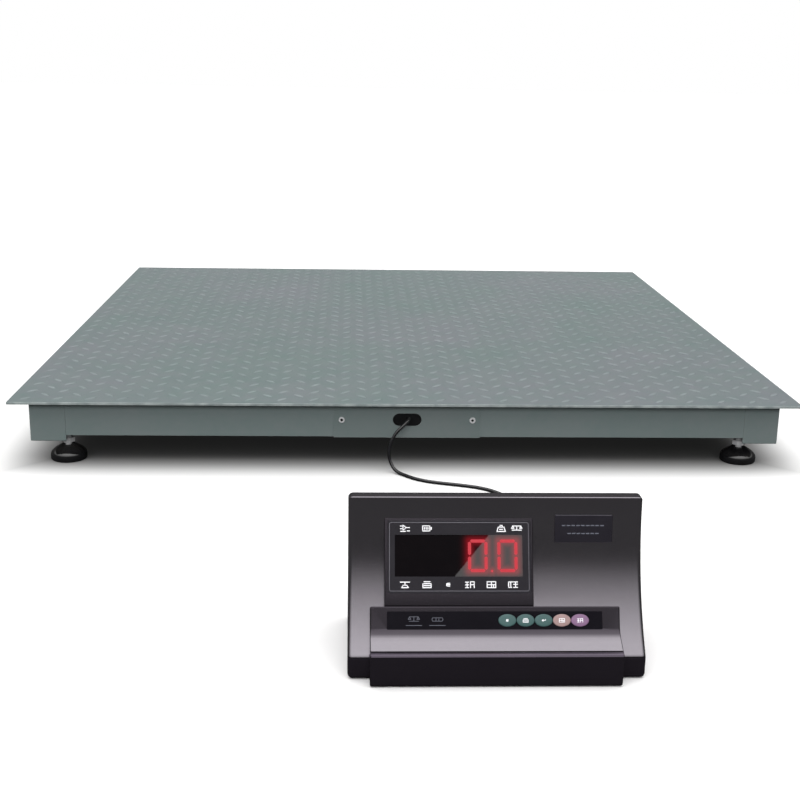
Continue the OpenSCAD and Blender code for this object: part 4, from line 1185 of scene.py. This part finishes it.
def gridPlate(name, size, middle, front, back, cell, field):
    # a plate with a fine grid on its front, whose points carry a value from the given field
    columns, rows = round(size[0] / cell), round(size[1] / cell)
    xs = [middle[0] + size[0] * (i / columns - 0.5) for i in range(columns + 1)]
    zs = [middle[1] + size[1] * (j / rows - 0.5) for j in range(rows + 1)]
    verts = [(x * mm, front * mm, z * mm) for z in zs for x in xs]
    wide = columns + 1
    faces = [(j * wide + i, j * wide + i + 1, (j + 1) * wide + i + 1, (j + 1) * wide + i)
             for j in range(rows) for i in range(columns)]
    rim = (list(range(wide)) + [j * wide + columns for j in range(1, rows + 1)]
           + [rows * wide + i for i in range(columns - 1, -1, -1)]
           + [j * wide for j in range(rows - 1, 0, -1)])
    first = len(verts)
    verts += [(verts[k][0], back * mm, verts[k][2]) for k in rim]
    count = len(rim)
    faces += [(rim[k], rim[(k + 1) % count], first + (k + 1) % count, first + k) for k in range(count)]
    faces.append(tuple(range(first, first + count)))
    obj = objectFrom(name, verts, faces)
    halo = obj.data.attributes.new("halo", "FLOAT", "POINT")
    for k, v in enumerate(obj.data.vertices):
        halo.data[k].value = field(v.co.x / mm, v.co.z / mm) if k < first else 0.0
    return obj

window = {
    "cell": 1.1, "lineWidth": 0.6, "lineInset": 2.0, "filmFront": 0.1, "filmBack": 1.5, "lensFront": 0.75,
    "lensBack": 2.4, "lineProud": 0.05, "lineDeep": 0.1,
}

def makeWindow(p, w):
    whole, base, front = (p["window"], p["windowMiddle"]), shell["displayBase"], w["filmFront"]
    film = ringPiece("windowFilm", grown(*whole, 0, 3.0), grown(p["led"], p["ledMiddle"], -0.4, 0.6), front,
                     w["filmBack"], base)
    piece(smooth(film, 40), "indicator", "windowFilm", ["display_window"])
    # a light line inside the window's edge: a painted highlight of the window recess's rim
    away = -2 * w["lineInset"]
    line = ringPiece("windowRimHighlight", grown(*whole, away, 2.2), grown(*whole, away - 2 * w["lineWidth"], 1.6),
                     front - w["lineProud"], front + w["lineDeep"], base)
    piece(line, "indicator", "filmHighlightLine")
    size = (p["led"][0] - 0.4, p["led"][1] - 0.4)
    lens = gridPlate("ledLens", size, p["ledMiddle"], w["lensFront"], w["lensBack"], w["cell"], haloAt)
    piece(onSlope(lens, shell["displayBase"]), "indicator", "ledBlack", ["display_module"])
    # the slanting light falls on the lens alone
    lit = bpy.data.collections.new("lensOnly")
    lit.objects.link(lens)
    lensCard.light_linking.receiver_collection = lit

makeWindow(panel, window)

def makeDigits(d):
    bars = []
    for left, right in d["places"]:
        for outline in segmentBars(left, right, d):
            bars.append(prism("bar", scaled(outline), d["front"] * mm, d["back"] * mm, "Y"))
    x, z, r = d["dot"]
    bars.append(discTool(r, (x, z), d["front"], d["back"], 20))
    piece(onWindow(joined("litDigits", bars)), "indicator", "ledRed")

makeDigits(digits)


# small generic pictures, drawn with strokes on a grid about 10 wide and 7 high
icons = {
    "plug": [(-4.6, 2.4, -2.0, 2.4), (-4.6, -0.4, -2.0, -0.4), (-2.0, -1.6, -2.0, 3.2), (-2.0, 3.2, 0.4, 1.6),
             (0.4, 1.6, 0.4, -0.2), (0.4, -0.2, -2.0, -1.6), (0.4, 0.8, 4.6, 0.8), (2.4, -2.6, 4.6, -2.6),
             (-4.4, -3.0, 0.4, -3.0)],
    "cell": [(-4.4, -2.6, 3.0, -2.6), (3.0, -2.6, 3.0, 2.6), (3.0, 2.6, -4.4, 2.6), (-4.4, 2.6, -4.4, -2.6),
             (4.4, -0.9, 4.4, 0.9), (-2.6, -0.8, -2.6, 0.8), (-0.8, -0.8, -0.8, 0.8), (1.0, -0.8, 1.0, 0.8)],
    "weight": [(-4.4, -3.0, 4.4, -3.0), (4.4, -3.0, 3.0, 1.4), (3.0, 1.4, -3.0, 1.4), (-3.0, 1.4, -4.4, -3.0),
               (-1.2, 1.4, -1.2, 3.2), (-1.2, 3.2, 1.2, 3.2), (1.2, 3.2, 1.2, 1.4), (-1.6, -0.8, 1.6, -0.8)],
    "pan": [(-4.6, 2.6, 4.6, 2.6), (0, 2.6, 0, -0.6), (-3.4, -3.0, 3.4, -3.0), (-3.4, -3.0, -2.0, -0.6),
            (3.4, -3.0, 2.0, -0.6), (-2.0, -0.6, 2.0, -0.6)],
    "stack": [(-4.2, -3.0, 4.2, -3.0), (-3.0, -1.0, 3.0, -1.0), (-4.2, 1.0, 4.2, 1.0), (-3.0, 3.0, 3.0, 3.0),
              (-4.2, -3.0, -4.2, 1.0), (4.2, -3.0, 4.2, 1.0)],
    "dot": [(-0.9, 1.4, 1.1, 1.4), (-1.4, 0, 1.4, 0), (-0.9, -1.4, 1.1, -1.4), (-1.8, -0.9, -1.8, 0.9)],
    "drop": [(-4.4, 2.6, -1.4, 2.6), (-4.4, -0.2, -1.4, -0.2), (-4.4, -3.0, -1.4, -3.0),
             (0.6, 3.0, 0.6, -3.0), (0.6, 3.0, 4.4, 3.0),
             (4.4, 3.0, 4.4, -3.0), (0.6, 0, 4.4, 0), (-2.9, 2.6, -2.9, -3.0)],
    "window": [(-4.4, -3.0, 4.4, -3.0), (4.4, -3.0, 4.4, 3.0), (4.4, 3.0, -4.4, 3.0), (-4.4, 3.0, -4.4, -3.0),
               (0, -3.0, 0, 3.0), (-4.4, 0, 4.4, 0), (2.2, -3.0, 2.2, 0)],
    "grid": [(-4.4, -2.8, -4.4, 2.8), (-2.2, -2.8, -2.2, 2.8), (-4.4, 2.8, -0.4, 2.8), (0.8, 2.8, 4.6, 2.8),
             (0.8, 0.4, 4.6, 0.4), (0.8, -2.8, 4.6, -2.8), (2.7, 2.8, 2.7, -2.8), (-4.4, -2.8, -1.4, -2.8)],
    "return": [(-2.6, 0, 2.8, 0), (-1.0, 1.5, -2.8, 0), (-1.0, -1.5, -2.8, 0), (2.8, 0, 2.8, 1.6)],
    "scale": [(-4.6, -1.6, 4.6, -1.6), (0, -1.6, 0, 2.6), (-4.2, 2.6, 4.2, 2.6), (-4.2, 2.6, -5.4, 0.2),
              (-4.2, 2.6, -3.0, 0.2), (-5.4, 0.2, -3.0, 0.2), (4.2, 2.6, 5.4, 0.2), (4.2, 2.6, 3.0, 0.2),
              (5.4, 0.2, 3.0, 0.2)],
    "level": [(-4.6, 1.6, 4.6, 1.6), (-4.6, -1.6, 4.6, -1.6), (-4.6, 1.6, -5.4, 0), (-5.4, 0, -4.6, -1.6),
              (4.6, 1.6, 5.4, 0), (5.4, 0, 4.6, -1.6), (-1.4, 1.6, -1.4, -1.6), (1.4, 1.6, 1.4, -1.6)],
}

legends = {
    "width": 0.95, "size": 1.0, "front": 0.04, "back": 0.16,
    "rows": [(77.8, [(-94.9, "plug"), (-72.2, "cell"), (4.4, "weight"), (20.6, "scale")]),
             (20.5, [(-94.9, "pan"), (-72.4, "stack"), (-50.4, "dot"), (-28.4, "drop"), (-6.3, "window"),
                     (15.8, "grid")])],
}

def makeLegends(setup):
    ends = setup["front"], setup["back"]
    marks = [strokes("mark", icons[name], setup["width"], *ends, (x, z), setup["size"])
             for z, row in setup["rows"] for x, name in row]
    piece(onWindow(joined("windowLegends", marks)), "indicator", "legendWhite")

makeLegends(legends)


keypad = {
    "stripFront": 0.0, "stripBack": 1.15, "capFront": -1.0, "capBack": 1.5, "dome": 0.45,
    "flange": (18.0, 14.0),
    "icons": ["dot", "stack", "return", "window", "drop"], "iconWidth": 0.62, "iconSize": 0.62,
    "looks": ["keyGreen", "keyGreen", "keyGreen", "keyTan", "keyViolet"], "flangeFrom": 1.3, "flangeTo": 2.3,
    "stemRadius": 2.0, "stemFrom": 2.0, "stemTo": 5.2, "hole": (19.0, 12.8),
    "marks": [(-86.0, "scale"), (-62.0, "level")],
    "markWidth": 0.5, "markFront": -0.05, "markBack": 0.08, "markRise": 1.0, "markSize": 1.05,
    "underline": (-8, 0, 8, 0), "underlineDrop": 5.0,
}

def makeKeycap(name, middle, p, k):
    # oval cap with a rounded brim and a slightly domed face, on a flange and a stem
    front = k["capFront"]
    rings = [(1.0, k["capBack"]), (1.0, front + 0.55), (0.985, front + 0.25), (0.95, front + 0.08),
             (0.90, front), (0.5, front - k["dome"] * 0.1)]
    count = 48
    verts, faces = [], []
    for scale, y in rings:
        oval = ovalOutline((p["key"][0] * scale, p["key"][1] * scale), middle, count)
        verts += [(x * mm, y * mm, z * mm) for x, z in oval]
    for ring in range(len(rings) - 1):
        faces += ringFaces(ring * count, count)
    faces += [tuple(range(count)), tuple(range(len(verts) - count, len(verts)))]
    cap = smooth(objectFrom(name + "Cap", verts, faces), 50, weighted=False)
    oval = scaled(ovalOutline(k["flange"], middle))
    flange = prism("flange", oval, k["flangeFrom"] * mm, k["flangeTo"] * mm, "Y")
    stem = discTool(k["stemRadius"], middle, k["stemFrom"], k["stemTo"], 20)
    return joined(name, [cap, flange, stem])

def makeKeypad(p, k):
    strip = plateTool(p["strip"], p["stripMiddle"], k["stripFront"], k["stripBack"], 1.0)
    middles = [(p["keyX"] + i * p["keyPitch"], p["stripMiddle"][1]) for i in range(5)]
    for middle in middles:
        carve(strip, prism("tool", scaled(ovalOutline(k["hole"], middle)), -2 * mm, 3 * mm, "Y"))
    strip.name = "keypadStrip"
    base = shell["keyBase"]
    piece(smooth(onSlope(strip, base), 40), "indicator", "keypadFilm", ["keypad_bezel"])
    for number, (middle, look, icon) in enumerate(zip(middles, k["looks"], k["icons"]), 1):
        node = "key_%d" % number
        piece(onSlope(makeKeycap("keyCap_%d" % number, middle, p, k), base), node, look, [node])
        mark = strokes("keyMark_%d" % number, icons[icon], k["iconWidth"], k["capFront"] - 0.12,
                       k["capFront"] + 0.15, middle, k["iconSize"])
        piece(onSlope(mark, base), node, "legendWhite")
    ends, row = (k["markFront"], k["markBack"]), p["stripMiddle"][1]
    marks = [strokes("mark", icons[name], k["markWidth"], *ends, (x, row + k["markRise"]), k["markSize"])
             for x, name in k["marks"]]
    marks += [strokes("line", [k["underline"]], k["markWidth"], *ends, (x, row - k["underlineDrop"]))
              for x, name in k["marks"]]
    piece(onSlope(joined("stripMarks", marks), base), "indicator", "legendGrey")

makeKeypad(panel, keypad)


label = {
    "front": -0.4, "back": 0.6, "round": 0.6, "rim": 0.6, "rimIn": 0.8, "rimDown": 0.5,
    "lines": [(3.2, 44, 1.3), (-5.2, 32, 1.1)],  # height, reach and extra gap of each row of dashes
    "dash": 2.6, "dashGap": 1.1, "dashWidth": 1.2, "rimFront": -0.5, "dashFront": -0.46, "inkBack": -0.3,
}

def makeLabel(s, p, setup):
    width, height = p["label"]
    plate = plateTool((width, height), (0, 0), setup["front"], setup["back"], setup["round"])
    plate.name = "labelPlate"
    place = labelPlace(s, p, 0.0)
    piece(atIndicator(placed(plate, place)), "indicator", "labelFilm", ["label_plate"])
    # a light line along the label's top edge: a painted highlight
    end, z = width / 2 - setup["rimIn"], height / 2 - setup["rimDown"]
    rim = strokes("labelRimHighlight", [(-end, z, end, z)], setup["rim"], setup["rimFront"], setup["inkBack"])
    piece(atIndicator(placed(rim, place)), "indicator", "filmHighlightLine")
    dashes = []
    for z, reach, extra in setup["lines"]:
        x = -reach / 2
        while x < reach / 2:
            dashes.append((x, z, min(x + setup["dash"], reach / 2), z))
            x += setup["dash"] + setup["dashGap"] + extra
    bars = strokes("labelBars", dashes, setup["dashWidth"], setup["dashFront"], setup["inkBack"])
    piece(atIndicator(placed(bars, place)), "indicator", "legendGrey")

makeLabel(shell, panel, label)
print("display, label and keypad ready")


# ---- cord and its ties ----

cableTube.data.materials.append(materials["cableJacket"])
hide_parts("signal_cable", "cable_coil", "cable_tail")
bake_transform(cableTube)

tieStrap = {"clear": 0.9 * mm, "thick": 0.9 * mm, "halfWidth": 2.2 * mm, "round": 3 * mm, "layers": 5}

def makeTie(name, angle, coil, strap):
    # a strap wound round the coil's cross-section
    a = math.radians(angle)
    inner = coil["coilInner"] - coil["diameter"] / 2 - strap["clear"]
    outer = coil["coilOuter"] + coil["diameter"] / 2 + strap["clear"]
    high = strap["layers"] * coil["diameter"] + strap["clear"]
    x, y = coil["coilCentre"]
    verts = []
    for grow in (0.0, -strap["thick"]):
        line = roundedRect(outer - inner + 2 * grow, high + 0.2 * mm + 2 * grow, strap["round"] + grow, 4,
                           ((inner + outer) / 2, high / 2))
        for side in (-strap["halfWidth"], strap["halfWidth"]):
            verts += [(x + r * math.cos(a) - side * math.sin(a), y + r * math.sin(a) + side * math.cos(a),
                       max(z, 0.1 * mm)) for r, z in line]
    tie = smooth(objectFrom(name, verts, frameFaces(len(line))), 40, weighted=False)
    return piece(tie, "platform", "blackNylon")

makeTie("coilTie_left", 150, cable, tieStrap)
makeTie("coilTie_right", 330, cable, tieStrap)
